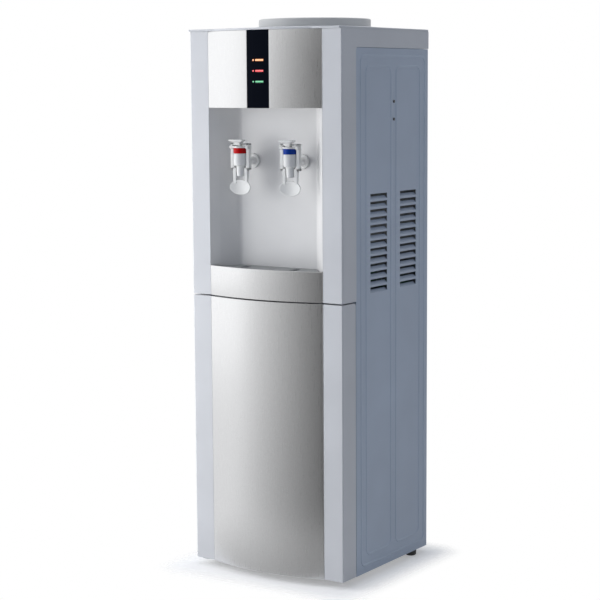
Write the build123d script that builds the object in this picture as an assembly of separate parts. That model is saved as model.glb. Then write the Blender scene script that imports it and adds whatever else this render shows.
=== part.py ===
from build123d import *
import math
import os

# Floor-standing water cooler: a cupboard with a swinging door below, two taps in an alcove above,
# and a bottle seat on top. Millimetres, +Z up, front towards -Y, origin on the floor under the middle.

# Body
WIDTH = 310.0
BODY_DEPTH = 291.0  # pillar face to the rear edge
BOW_RISE = 19.0  # how far the bowed front stands out from the pillars
FOOT_HEIGHT = 12.0
BODY_HEIGHT = 938.0  # underside of the side panels to the top rim
PILLAR_WIDTH = 38.5
PANEL_SETBACK = 5.0  # ends of the silver fronts behind the pillar faces
RETURN_DEPTH = 45.5  # pillar face to the front edge of the side panels
CORNER_RADIUS = 2.0
INNER_EDGE = 0.5  # edge radius beside the silver fronts
JAMB_DEPTH = 20.5  # how far the pillars' inner walls reach back

# Levels: the upper section holds its height, and the cupboard takes the rest of the body
UPPER_HEIGHT = 460.6  # top rim to the seam between the door and the hood
SEAM_HEIGHT = BODY_HEIGHT - UPPER_HEIGHT
FASCIA_DROP = 134.5  # top rim to the alcove's top
TRAY_FRONT_HEIGHT = 51.9
BAND_DROP = 34.0  # plastic band below the top rim
BAND_CORNER = 6.0  # rounded corner between the band and the return

# Walls and clearances
WALL = 2.5  # moulded walls
SKIN = 2.5  # silver fronts
SHEET = 1.0  # sheet metal
LINER_WALL = 2.0
FIT = 0.3  # between pieces that are fixed together
RUN = 0.5  # between pieces that slide or swing past each other
SEAM_GAP = 2.4
DOOR_GAP = 3.0
HOOD_JOINT = 0.5

# Side panels
PANEL_INSET = 1.3
BEAD_RISE = 1.1
BEAD_WIDTH = 5.0
BEAD_TAPER = 40.0
FIELD_FRONT_MARGIN = 33.5  # panel's front edge to the first beaded field
FIELD_REAR_MARGIN = 28.6
FIELD_GAP = 17.4  # between the two fields
FIELD_BOTTOM = 31.0
FIELD_TOP_DROP = 65.0  # top rim to the upper edge of the fields
FIELD_RADIUS = 12.0
FRAME_MARGIN = 17.0  # outer bead around both fields
LOUVER_ROWS = 13
LOUVER_PITCH = 13.3
LOUVER_MARGIN = 13.5  # from the sides of the field
LOUVER_OPENING = 10.2
LOUVER_BLADE = 5.6
LOUVER_DEPTH = 5.0
LOUVER_RISE = 4.3  # above the equipment deck
FLANGE = 7.0
TUCK = 10.0  # how far the panels reach behind the hood

# Base, feet, back and cupboard
BASE_SHEET = 1.2
BASE_FLANGE = 18.0
FOOT_RADIUS = 10.0
FOOT_SPIGOT_RADIUS = 4.0
FOOT_CHAMFER = 2.0
REAR_FOOT_INSET = 12.4  # from the side of the base
REAR_FOOT_SETBACK = 34.0  # from the rear edge
FRONT_FOOT_INSET = 34.4
FRONT_FOOT_SETBACK = 75.0  # from the pillar face
BACK_RECESS = 15.0
LINER_GAP = 5.5
LINER_BACK_GAP = 8.0
LINER_RUNNER = 4.5
DECK_GAP = 1.0  # hood's web to the deck
BACK_SCREW_EDGE = 40.0  # screws from the ends of the back panel and from the deck
SHELF_HEIGHT = 250.0
SHELF_THICKNESS = 3.0
SHELF_LIP = 12.0
LEDGE = 6.0

# Top cover and bottle seat
COVER_EDGE = 3.5
DOME_RISE = 3.5
DOME_MARGIN = 2.0
DOME_TOP_RADIUS = 110.0
COLLAR_RADIUS = 98.5
COLLAR_HEIGHT = 14.5
COLLAR_OVERHANG = 3.0  # over the edge of the cover's hole
COLLAR_OFFSET = 13.5  # middle of the body back to the bottle's axis
RIM_WIDTH = 4.0
FUNNEL_DEPTH = 43.0
THROAT_FLARE = 6.0
THROAT_DROP = 8.0
NECK_RADIUS = 31.0
WELL_DEPTH = 75.0
SPIKE_RADIUS = 9.0
SPIKE_HEIGHT = 48.0
SEAL_THICKNESS = 2.0

# Upper fascia
WINDOW_WIDTH = 44.6
WINDOW_THICKNESS = 1.5
LENS_PITCH = 18.0
LENS_TOP_DROP = 54.0  # top rim to the first light
BAR_LENGTH = 16.4
BAR_HEIGHT = 3.4
BAR_OFFSET = 3.2
DOT_RADIUS = 1.7
DOT_OFFSET = -9.2
LENS_GAP = 1.0  # light pipes to the board
BOARD_THICKNESS = 1.6
BOARD_SETBACK = 12.0
BOARD_WIDTH = 44.0
BOARD_HEIGHT = 64.0
BOARD_EDGE = 5.0  # screws from the board's edges
BOSS_RADIUS = 3.0
LAMP_SIZE = 3.0
LAMP_HEIGHT = 0.7

# Alcove, tray and grille
ALCOVE_DEPTH = 42.0
ALCOVE_REVEAL = 3.5  # pillar's jamb to the edge of the alcove's side wall
ALCOVE_BACK_HALF = 80.0
LIP_SETBACK = 0.5
TRAY_CLEARANCE = 1.0
TRAY_WALL = 2.0
GRILLE_DROP = 0.8  # below the tray's lip
GRILLE_SEAT = 0.2  # grille over the tray's rim
GRILLE_THICKNESS = 2.8
GRILLE_HOLE_WIDTH = 13.6
GRILLE_HOLE_LENGTH = 24.0
GRILLE_HOLE_SETBACK = 14.0  # pillar faces to the holes' middle

# Door
DOOR_LIFT = 1.0
DOOR_CORNER = 5.0  # rounded top rear corner of the door's returns
HINGE_INSET = 15.0  # hinge axis from the side
HINGE_SETBACK = 18.0  # hinge axis behind the pillar face
HINGE_PIN_RADIUS = 4.0
HINGE_PIN_REACH = 13.0
PIVOT_CLEARANCE = 0.1  # pins in their holes
BUSH_WALL = 2.5
BUSH_FLANGE = 0.8
BOSS_WALL = 2.5
SWING_CLEARANCE = 1.0
BRACKET_THICKNESS = 2.0
BRACKET_WIDTH = 24.0
BRACKET_TAIL = 40.0
CATCH_INSET = 37.5  # from the door's side wall
CATCH_WIDTH = 30.0
CATCH_HEIGHT = 12.0

# Taps
TAP_X = 51.3
TAP_SETBACK = 3.0  # pillar faces to the barrels' axes
TAP_DROP = 91.0  # alcove's top to the shanks
SHANK_RADIUS = 7.0
SHANK_BORE = 4.5
SHANK_REACH = 18.0
BARB_RADIUS = 5.0
BARB_LENGTH = 14.0
BARREL_RADIUS = 12.5
BARREL_DROP = 7.2
BARREL_BORE = 8.5
RING_RISE = 13.8  # shank axis to the coloured ring
RING_HEIGHT = 9.4
RING_WALL = 2.0
HEAD_HEIGHT = 3.0
NOZZLE_DROP = 25.0
NOZZLE_RADIUS = 8.2
NOZZLE_TIP_RADIUS = 7.0
FLANGE_RADIUS = 12.5
FLANGE_THICKNESS = 3.0
GASKET_THICKNESS = 1.0
GASKET_INSET = 1.5
NUT_RADIUS = 14.4
NUT_THICKNESS = 8.0
PIVOT_SETBACK = 4.0  # lever axis in front of the barrel's axis
TRUNNION_RADIUS = 1.4
EYE_RADIUS = 3.2  # boss of each arm around its pin
ARM_WIDTH = 6.0
ARM_DEPTH = 7.5
LEVER_GAP = 0.7
BRIDGE_GAP = 2.3  # head of the barrel to the lever's bridge
BRIDGE_THICKNESS = 2.5
FORK_WIDTH = 12.0
FORK_SLOT = 5.2
FORK_REACH = 6.0  # behind the barrel's axis
STEP_DROP = 3.4  # barrel's end to the step in the arms
STEP_HEIGHT = 3.0
NECK_SETBACK = 8.0  # foot of the thumb plate's neck in front of the barrel's axis
THUMB_WIDTH = 28.0
THUMB_DEPTH = 11.4
THUMB_REACH = 16.9
THUMB_THICKNESS = 2.6
THUMB_NECK = 4.1
PADDLE_WIDTH = 43.0
PADDLE_HEIGHT = 26.0
PADDLE_THICKNESS = 2.6
PADDLE_DROP = 44.2  # shank axis to the paddle's middle
PADDLE_REACH = 4.5  # sides of the paddle in front of the barrel's axis
PADDLE_DISH = 4.0  # depth of the hollow
STEM_RADIUS = 3.0
STEM_NECK = 2.0
STEM_HEAD = 3.5
STEM_HEAD_THICKNESS = 1.8
STEM_LOST_MOTION = 0.6
GUIDE_THICKNESS = 5.0
VALVE_OVERLAP = 1.5

# Tanks, cooling and pipes
COLD_HEIGHT = 150.0
COLD_BLOCK = 11.0  # tank's back to the cooling module
INSULATION = 10.0
LID_THICKNESS = 4.0
CRADLE_SHEET = 2.0
CRADLE_WIDTH = 80.0
CRADLE_DROP = 110.0  # top rim to the ends of the strap
HOT_RADIUS = 48.0
HOT_LEGS = 14.0
HOT_OUTLET_OFFSET = 27.8
LINK_LENGTH = 41.8  # top of the hot tank to the cold tank's insulation
HEATER_RISE = 22.0
HEATER_HEIGHT = 30.0
HEATER_WALL = 2.5
SENSOR_RADIUS = 8.0
SENSOR_DEPTH = 10.0
SENSOR_RISE = 10.0  # heater to the middle of the thermostats
SENSOR_X = 12.0
TUBE_RADIUS = 7.0
NIPPLE_RADIUS = 5.0
NIPPLE_LENGTH = 12.0
TUBE_FIT = 0.2
HOSE_BEND = 9.0
HOSE_SWEEP = 20.0
HOSE_GAP = 2.2  # hot tube to the insulation
VENT_GAP = 2.5
VENT_ROWS = 9
FAN_SIZE = 80.0
FAN_THICKNESS = 12.5
FAN_RADIUS = 36.0
FAN_CLEARANCE = 1.5
HUB_RADIUS = 14.0
FAN_BLADES = 7
SINK_BASE = 4.0
SINK_FINS = 13
SINK_DEPTH = 12.0
MODULE_SIZE = 40.0
MODULE_THICKNESS = 4.0
SPOKE_THICKNESS = 2.0
BLADE_THICKNESS = 1.4
BLADE_PITCH = 35.0
SUPPLY_POST = 8.0
TRANSFORMER = 34.0
TRANSFORMER_HEIGHT = 25.5
CAPACITOR_RADIUS = 5.0
CAPACITOR_HEIGHT = 20.0

# Rear fittings
SWITCH_INSET = 42.4  # outer switch from the side of the back panel
SWITCH_PITCH = 30.0
SWITCH_DROP = 90.0  # below the top rim
SWITCH_WIDTH = 13.4
SWITCH_LENGTH = 19.4
SWITCH_BEZEL = 2.0
SWITCH_RIM = 2.0
SWITCH_DEPTH = 18.0
ROCKER_SIDE_GAP = 1.5
ROCKER_END_GAP = 2.0
ROCKER_TILT = 8.0
ROCKER_DEPTH = 6.0
ROCKER_PIVOT = 1.0
ROCKER_PIVOT_LENGTH = 0.7
DRAIN_RADIUS = 9.0
DRAIN_REACH = 8.0
CAP_RADIUS = 13.0
CAP_LENGTH = 12.5
CAP_NOTCHES = 12
CAP_NOTCH_RADIUS = 1.2
GLAND_INSET = 42.4  # from the side of the back panel
GLAND_DEPTH = 6.0  # behind the back panel
GLAND_HEIGHT = 40.0  # above the deck
GLAND_RADIUS = 8.0
CORD_BORE = 4.0
SCREW_RADIUS = 1.5
SCREW_HEAD = 2.6
SCREW_HEAD_THICKNESS = 1.2
SCREW_LENGTH = 7.0
SIDE_SCREW_DROPS = (155.4, 125.0)  # below the top rim

# Places worked out from the sizes above
HALF = WIDTH / 2
NOSE_Y = -(BODY_DEPTH + BOW_RISE) / 2
FACE_Y = NOSE_Y + BOW_RISE
BACK_Y = FACE_Y + BODY_DEPTH
BODY_Z = FOOT_HEIGHT
TOP_Z = BODY_Z + BODY_HEIGHT
PANEL_HALF = HALF - PILLAR_WIDTH
BOW_DEPTH = BOW_RISE + PANEL_SETBACK
BOW_RADIUS = (PANEL_HALF**2 + BOW_DEPTH**2) / (2 * BOW_DEPTH)
BOW_CENTRE_Y = NOSE_Y + BOW_RADIUS
SEAM_Z = BODY_Z + SEAM_HEIGHT
HOOD_Z = SEAM_Z + SEAM_GAP / 2
DOOR_Z = BODY_Z + DOOR_LIFT
DOOR_TOP_Z = SEAM_Z - SEAM_GAP / 2
TRAY_LIP_Z = HOOD_Z + TRAY_FRONT_HEIGHT
ALCOVE_TOP_Z = TOP_Z - FASCIA_DROP
BAND_Z = TOP_Z - BAND_DROP
COVER_Z = TOP_Z - COVER_EDGE
PANEL_FRONT_Y = FACE_Y + RETURN_DEPTH
HOOD_BACK_Y = PANEL_FRONT_Y - HOOD_JOINT
DOOR_BACK_Y = PANEL_FRONT_Y - DOOR_GAP
JAMB_Y = FACE_Y + JAMB_DEPTH
HOOD_INNER_X = HALF - WALL
PANEL_FACE_X = HALF - PANEL_INSET
PANEL_INNER_X = PANEL_FACE_X - SHEET
TUCK_FACE_X = HOOD_INNER_X - FIT
INNER_X = PANEL_INNER_X - FIT
REAR_FOOT_X = INNER_X - REAR_FOOT_INSET
FRONT_FOOT_X = INNER_X - FRONT_FOOT_INSET
CATCH_X = HOOD_INNER_X - CATCH_INSET
GLAND_X = GLAND_INSET - INNER_X
SWITCH_X = INNER_X - SWITCH_INSET
HINGE_X = -HALF + HINGE_INSET
HINGE_Y = FACE_Y + HINGE_SETBACK
SWING_RADIUS = math.hypot(HINGE_INSET, DOOR_BACK_Y - HINGE_Y)
STOP_Y = HINGE_Y + SWING_RADIUS + SWING_CLEARANCE
CABINET_Y = STOP_Y + SHEET
BASE_TOP_Z = BODY_Z + BASE_SHEET
WEB_TOP_Z = HOOD_Z + WALL
DECK_Z = WEB_TOP_Z + DECK_GAP
DECK_TOP_Z = DECK_Z + SHEET
BACK_PANEL_Y = BACK_Y - BACK_RECESS - SHEET
BACK_FACE_Y = BACK_PANEL_Y + SHEET
RAIL_Y = BACK_PANEL_Y - SHEET
LINER_HALF = PANEL_INNER_X - LINER_GAP
LINER_BACK_Y = RAIL_Y - LINER_BACK_GAP
LINER_Z = BASE_TOP_Z + LINER_RUNNER
LINER_TOP_Z = DECK_Z - FIT
SHELF_Z = BODY_Z + SHELF_HEIGHT
AXIS_Y = FACE_Y + BODY_DEPTH / 2 + COLLAR_OFFSET
DOME_TOP_Z = TOP_Z + DOME_RISE
DOME_FOOT_RADIUS = min(HALF, BACK_Y - AXIS_Y, AXIS_Y - FACE_Y) - DOME_MARGIN
COVER_HOLE_RADIUS = COLLAR_RADIUS - COLLAR_OVERHANG
RIM_Z = DOME_TOP_Z + COLLAR_HEIGHT
THROAT_Z = RIM_Z - FUNNEL_DEPTH
WELL_Z = THROAT_Z - WELL_DEPTH
LID_TOP_Z = WELL_Z - WALL - SEAL_THICKNESS - FIT
COLD_TOP_Z = LID_TOP_Z - LID_THICKNESS
COLD_Z = COLD_TOP_Z - COLD_HEIGHT
FAN_BACK_Y = BACK_PANEL_Y - VENT_GAP
FAN_FRONT_Y = FAN_BACK_Y - FAN_THICKNESS
SINK_FRONT_Y = FAN_FRONT_Y - SINK_DEPTH - SINK_BASE
MODULE_FRONT_Y = SINK_FRONT_Y - MODULE_THICKNESS
COLD_RADIUS = MODULE_FRONT_Y - COLD_BLOCK - AXIS_Y
INSULATION_RADIUS = COLD_RADIUS + INSULATION
INSULATION_Z = COLD_Z - INSULATION - FIT
HOT_Z = DECK_TOP_Z + HOT_LEGS
HOT_TOP_Z = INSULATION_Z - LINK_LENGTH
FASCIA_Z = ALCOVE_TOP_Z + FIT
FASCIA_HALF = PANEL_HALF - FIT
ALCOVE_BACK_Y = FACE_Y + ALCOVE_DEPTH
ALCOVE_LIP_Y = FACE_Y + LIP_SETBACK
ALCOVE_FRONT_HALF = PANEL_HALF - ALCOVE_REVEAL
SPLAY = (ALCOVE_FRONT_HALF - ALCOVE_BACK_HALF) / (ALCOVE_BACK_Y - ALCOVE_LIP_Y)
SPLAY_STRETCH = math.hypot(1.0, SPLAY)
FRONT_INNER_Y = FACE_Y + PANEL_SETBACK + SKIN + RUN
GRILLE_TOP_Z = TRAY_LIP_Z - GRILLE_DROP
GRILLE_Z = GRILLE_TOP_Z - GRILLE_THICKNESS
TRAY_Z = WEB_TOP_Z + FIT
TRAY_RIM_Z = GRILLE_Z - GRILLE_SEAT
TRAY_BACK_Y = ALCOVE_BACK_Y - TRAY_CLEARANCE
TAP_Y = FACE_Y + TAP_SETBACK
SHANK_Z = ALCOVE_TOP_Z - TAP_DROP
BARREL_Z = SHANK_Z - BARREL_DROP
RING_Z = SHANK_Z + RING_RISE
RING_TOP_Z = RING_Z + RING_HEIGHT
HEAD_TOP_Z = RING_TOP_Z + HEAD_HEIGHT
NOZZLE_Z = SHANK_Z - NOZZLE_DROP
PIVOT_Y = TAP_Y - PIVOT_SETBACK
PIVOT_Z = RING_TOP_Z + HEAD_HEIGHT / 2
ARM_X = BARREL_RADIUS + LEVER_GAP
BRIDGE_Z = HEAD_TOP_Z + BRIDGE_GAP
PADDLE_Z = SHANK_Z - PADDLE_DROP
PADDLE_BED_Y = TAP_Y - PADDLE_REACH + PADDLE_DISH
FLANGE_BACK_Y = ALCOVE_BACK_Y - GASKET_THICKNESS
LINER_REAR_Y = ALCOVE_BACK_Y + WALL
SHANK_END_Y = LINER_REAR_Y + SHANK_REACH
BARB_END_Y = SHANK_END_Y + BARB_LENGTH
FAN_Z = COLD_Z + COLD_HEIGHT / 2
DRAIN_Z = HOT_Z + NIPPLE_LENGTH
GLAND_Z = DECK_TOP_Z + GLAND_HEIGHT
SWITCH_Z = TOP_Z - SWITCH_DROP
ROCKER_WIDTH = SWITCH_WIDTH - 2 * ROCKER_SIDE_GAP
ROCKER_LENGTH = SWITCH_LENGTH - 2 * ROCKER_END_GAP
ROCKER_Y = BACK_FACE_Y + SWITCH_BEZEL / 2
FIELD_WIDTH = (BACK_Y - PANEL_FRONT_Y - FIELD_FRONT_MARGIN - FIELD_REAR_MARGIN - FIELD_GAP) / 2
FIELD_PITCH = FIELD_WIDTH + FIELD_GAP
LOUVER_WIDTH = FIELD_WIDTH - 2 * LOUVER_MARGIN
SIDE_SCREW_Y = PANEL_FRONT_Y + FIELD_FRONT_MARGIN + FIELD_WIDTH + FIELD_GAP / 2
SIDE_SCREW_Z = [TOP_Z - drop for drop in SIDE_SCREW_DROPS]
BACK_SCREW_X = INNER_X - FLANGE / 2
BACK_SCREW_Z = [BASE_TOP_Z + BACK_SCREW_EDGE, DECK_Z - BACK_SCREW_EDGE, BAND_Z - BACK_SCREW_EDGE]
FIELD_HEIGHT = BODY_HEIGHT - FIELD_BOTTOM - FIELD_TOP_DROP


# Shapes used by many pieces


def block(x0, x1, y0, y1, z0, z1):
    """A box between two corners."""
    centre = Pos((x0 + x1) / 2, (y0 + y1) / 2, (z0 + z1) / 2)
    return centre * Box(x1 - x0, y1 - y0, z1 - z0)


def post(x, y, z0, z1, radius):
    """An upright cylinder."""
    return Pos(x, y, (z0 + z1) / 2) * Cylinder(radius, z1 - z0)


def rod_x(x0, x1, y, z, radius):
    """A cylinder along X."""
    return Pos((x0 + x1) / 2, y, z) * Rot(0, 90, 0) * Cylinder(radius, x1 - x0)


def rod_y(x, y0, y1, z, radius):
    """A cylinder along Y."""
    return Pos(x, (y0 + y1) / 2, z) * Rot(90, 0, 0) * Cylinder(radius, y1 - y0)


def prism_z(points, z0, z1):
    """A polygon in plan, raised from z0 to z1."""
    face = make_face(Polyline([(x, y, z0) for x, y in points], close=True))
    return extrude(face, amount=z1 - z0, dir=(0, 0, 1))


def prism_x(points, x0, x1):
    """A side outline of (y, z) points, carried from x0 to x1."""
    face = make_face(Polyline([(x0, y, z) for y, z in points], close=True))
    return extrude(face, amount=x1 - x0, dir=(1, 0, 0))


def prism_y(points, y0, y1):
    """A front outline of (x, z) points, carried from y0 to y1."""
    face = make_face(Polyline([(x, y0, z) for x, z in points], close=True))
    return extrude(face, amount=y1 - y0, dir=(0, 1, 0))


def turned(points, x, y):
    """A closed profile of (radius, z) points, turned about an upright axis."""
    face = make_face(Polyline([(r, 0, z) for r, z in points], close=True))
    return Pos(x, y, 0) * revolve(face, axis=Axis.Z)


def tube_y(x, y0, y1, z, outer, inner):
    """A ring-shaped bar along Y."""
    return rod_y(x, y0, y1, z, outer) - rod_y(x, y0 - 1, y1 + 1, z, inner)


def both_sides(piece):
    """A piece and its mirror image across the middle of the body."""
    return piece + mirror(piece, about=Plane.YZ)


def group(pieces):
    """Separate solids kept in one node."""
    return Compound([solid for piece in pieces for solid in piece.solids()])


def bow_y(x, radius):
    """Where a front arc of the given radius lies at x."""
    return BOW_CENTRE_Y - math.sqrt(radius**2 - x**2)


def bow_plate(half, depth, thickness, z0, z1):
    """A bowed upright plate whose face lies depth behind the bowed front."""
    outer = BOW_RADIUS - depth
    inner = outer - thickness
    front = ThreePointArc(
        (-half, bow_y(half, outer), z0), (0, BOW_CENTRE_Y - outer, z0), (half, bow_y(half, outer), z0)
    )
    back = ThreePointArc(
        (half, bow_y(half, inner), z0), (0, BOW_CENTRE_Y - inner, z0), (-half, bow_y(half, inner), z0)
    )
    face = make_face([front, Line(front @ 1, back @ 0), back, Line(back @ 1, front @ 0)])
    return extrude(face, amount=z1 - z0, dir=(0, 0, 1))


def bow_segment(depth, chord_y, z0, z1):
    """The flat piece between the bowed front, moved back by depth, and a straight chord."""
    radius = BOW_RADIUS - depth
    half = math.sqrt(radius**2 - (BOW_CENTRE_Y - chord_y) ** 2)
    arc = ThreePointArc((-half, chord_y, z0), (0, BOW_CENTRE_Y - radius, z0), (half, chord_y, z0))
    face = make_face([arc, Line(arc @ 1, arc @ 0)])
    return extrude(face, amount=z1 - z0, dir=(0, 0, 1))


def pillar(back_y, z0, z1):
    """The right pillar's channel: side return, front face and inner jamb."""
    outline = [
        (HALF, back_y),
        (HALF, FACE_Y),
        (PANEL_HALF, FACE_Y),
        (PANEL_HALF, JAMB_Y),
        (PANEL_HALF + WALL, JAMB_Y),
        (PANEL_HALF + WALL, FACE_Y + WALL),
        (HOOD_INNER_X, FACE_Y + WALL),
        (HOOD_INNER_X, back_y),
    ]
    channel = prism_z(outline, z0, z1)
    uprights = channel.edges().filter_by(Axis.Z)
    outer_corner = uprights.sort_by_distance((HALF, FACE_Y, (z0 + z1) / 2))[0]
    channel = fillet(outer_corner, CORNER_RADIUS)
    uprights = channel.edges().filter_by(Axis.Z)
    inner_corner = uprights.sort_by_distance((PANEL_HALF, FACE_Y, (z0 + z1) / 2))[0]
    return fillet(inner_corner, INNER_EDGE)


def pillar_cap(back_y, z0, z1):
    """A plate that closes the right pillar's channel."""
    return block(PANEL_HALF + WALL / 2, HOOD_INNER_X + WALL / 2, FACE_Y + WALL / 2, back_y, z0, z1)


def splay_x(y, inset):
    """Half width between the alcove's splayed walls at y, drawn in square to them by inset."""
    return ALCOVE_BACK_HALF + (ALCOVE_BACK_Y - y) * SPLAY - inset * SPLAY_STRETCH


def alcove_plan(inset, front_depth, back_y, z0, z1):
    """A slab with splayed sides, a straight back and a bowed front."""
    radius = BOW_RADIUS - front_depth
    reach = splay_x(BOW_CENTRE_Y, inset)
    a = 1 + SPLAY**2
    b = reach * SPLAY
    c = reach**2 - radius**2
    drop = (-b + math.sqrt(b**2 - a * c)) / a
    front_y = BOW_CENTRE_Y - drop
    front_half = splay_x(front_y, inset)
    back_half = splay_x(back_y, inset)
    arc = ThreePointArc((-front_half, front_y, z0), (0, BOW_CENTRE_Y - radius, z0), (front_half, front_y, z0))
    back = Line((back_half, back_y, z0), (-back_half, back_y, z0))
    face = make_face([arc, Line(arc @ 1, back @ 0), back, Line(back @ 1, arc @ 0)])
    return extrude(face, amount=z1 - z0, dir=(0, 0, 1))


# Carcass


def base_plate():
    """Folded pan: floor sheet with upturned sides and four foot holes."""
    back_y = BACK_Y - SHEET - FIT
    pan = block(-INNER_X, INNER_X, CABINET_Y, back_y, BODY_Z, BASE_TOP_Z)
    side_y = CABINET_Y + LINER_WALL + FIT
    side_top = BODY_Z + BASE_FLANGE
    pan += both_sides(block(INNER_X - BASE_SHEET, INNER_X, side_y, RAIL_Y - FIT, BODY_Z, side_top))
    for x, y in foot_places():
        pan -= post(x, y, BODY_Z - 1, BASE_TOP_Z + 1, FOOT_SPIGOT_RADIUS + FIT / 2)
    return pan


def foot_places():
    """Where the four feet stand."""
    rear_y = BACK_Y - REAR_FOOT_SETBACK
    front_y = FACE_Y + FRONT_FOOT_SETBACK
    return [
        (-REAR_FOOT_X, rear_y),
        (REAR_FOOT_X, rear_y),
        (-FRONT_FOOT_X, front_y),
        (FRONT_FOOT_X, front_y),
    ]


def feet():
    """Four tapered pads, each with a spigot pushed through the base."""
    spigot_top = BASE_TOP_Z + LINER_RUNNER / 2
    profile = [
        (0, 0),
        (FOOT_RADIUS - FOOT_CHAMFER, 0),
        (FOOT_RADIUS, FOOT_CHAMFER),
        (FOOT_RADIUS, BODY_Z),
        (FOOT_SPIGOT_RADIUS, BODY_Z),
        (FOOT_SPIGOT_RADIUS, spigot_top),
        (0, spigot_top),
    ]
    return group([turned(profile, x, y) for x, y in foot_places()])


def bead(width, height, centre_y, z0, x):
    """A raised rounded-rectangle bead, standing outwards from x."""
    middle = Plane(origin=(x, centre_y, z0 + height / 2), x_dir=(0, 1, 0), z_dir=(1, 0, 0))
    radius = FIELD_RADIUS
    outer = RectangleRounded(width + BEAD_WIDTH, height + BEAD_WIDTH, radius + BEAD_WIDTH / 2)
    inner = RectangleRounded(width - BEAD_WIDTH, height - BEAD_WIDTH, radius - BEAD_WIDTH / 2)
    return extrude(middle * (outer - inner), amount=BEAD_RISE, taper=BEAD_TAPER)


def panel_beads(x):
    """The outer frame bead and the two field beads."""
    field_z = BODY_Z + FIELD_BOTTOM
    beads = bead(
        FIELD_PITCH + FIELD_WIDTH + 2 * FRAME_MARGIN,
        FIELD_HEIGHT + 2 * FRAME_MARGIN,
        SIDE_SCREW_Y,
        field_z - FRAME_MARGIN,
        x,
    )
    for side in (-1, 1):
        beads += bead(FIELD_WIDTH, FIELD_HEIGHT, SIDE_SCREW_Y + side * FIELD_PITCH / 2, field_z, x)
    return beads


def side_panel():
    """The right side: sheet, flanges, beads and pressed louvers."""
    bottom = BODY_Z
    top = BAND_Z - HOOD_JOINT
    panel = block(PANEL_INNER_X, PANEL_FACE_X, PANEL_FRONT_Y, BACK_Y, bottom, top)
    flange_x = PANEL_INNER_X - FLANGE
    panel += block(flange_x, PANEL_FACE_X, BACK_Y - SHEET, BACK_Y, bottom, top)
    panel += block(flange_x, PANEL_FACE_X, RAIL_Y, BACK_PANEL_Y, BASE_TOP_Z + FIT, top - TUCK)
    panel += block(flange_x, PANEL_FACE_X, STOP_Y, CABINET_Y, BASE_TOP_Z + FIT, DECK_Z - FIT)
    doubler = TUCK / 2
    tuck_x = TUCK_FACE_X - SHEET
    tuck_z = DECK_TOP_Z + FIT
    rear_y = RAIL_Y - TUCK
    panel += block(tuck_x, PANEL_FACE_X, PANEL_FRONT_Y, rear_y, top - doubler, top)
    panel += block(tuck_x, TUCK_FACE_X, PANEL_FRONT_Y, rear_y, top - doubler, top + TUCK)
    panel += block(tuck_x, PANEL_FACE_X, PANEL_FRONT_Y, PANEL_FRONT_Y + doubler, tuck_z, top)
    panel += block(tuck_x, TUCK_FACE_X, PANEL_FRONT_Y - TUCK, PANEL_FRONT_Y + doubler, tuck_z, top)
    corner = BAND_CORNER + HOOD_JOINT
    corner_z = top - corner
    corner_y = PANEL_FRONT_Y + corner
    tucked = block(PANEL_INNER_X - 2, PANEL_FACE_X + 1, PANEL_FRONT_Y - 1, corner_y, corner_z, top + 1)
    tucked -= rod_x(PANEL_INNER_X - 2, PANEL_FACE_X + 1, corner_y, corner_z, corner)
    panel -= tucked & block(TUCK_FACE_X, HALF, PANEL_FRONT_Y - 1, corner_y, corner_z, top + 1)
    panel += block(tuck_x, TUCK_FACE_X, PANEL_FRONT_Y, corner_y, corner_z, top)
    panel += panel_beads(PANEL_FACE_X)
    panel -= panel_beads(PANEL_INNER_X)
    windows = []
    blades = []
    for side in (-1, 1):
        centre = SIDE_SCREW_Y + side * FIELD_PITCH / 2
        y0 = centre - LOUVER_WIDTH / 2
        y1 = centre + LOUVER_WIDTH / 2
        for row in range(LOUVER_ROWS):
            z = DECK_TOP_Z + LOUVER_RISE + row * LOUVER_PITCH
            windows.append(block(PANEL_INNER_X - 1, PANEL_FACE_X + 1, y0, y1, z, z + LOUVER_OPENING))
            outline = [
                (PANEL_INNER_X, z - SHEET),
                (PANEL_FACE_X, z),
                (PANEL_FACE_X - LOUVER_DEPTH, z + LOUVER_BLADE),
                (PANEL_INNER_X - LOUVER_DEPTH, z + LOUVER_BLADE),
            ]
            blades.append(prism_y(outline, y0 - FIT, y1 + FIT))
    panel -= windows
    panel += blades
    for z in SIDE_SCREW_Z:
        panel -= rod_x(PANEL_INNER_X - 1, PANEL_FACE_X + 1, SIDE_SCREW_Y, z, SCREW_RADIUS + FIT / 2)
    for z in BACK_SCREW_Z:
        panel -= rod_y(BACK_SCREW_X, RAIL_Y - 1, BACK_PANEL_Y + 0.5, z, SCREW_RADIUS + FIT / 2)
    return panel


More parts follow.
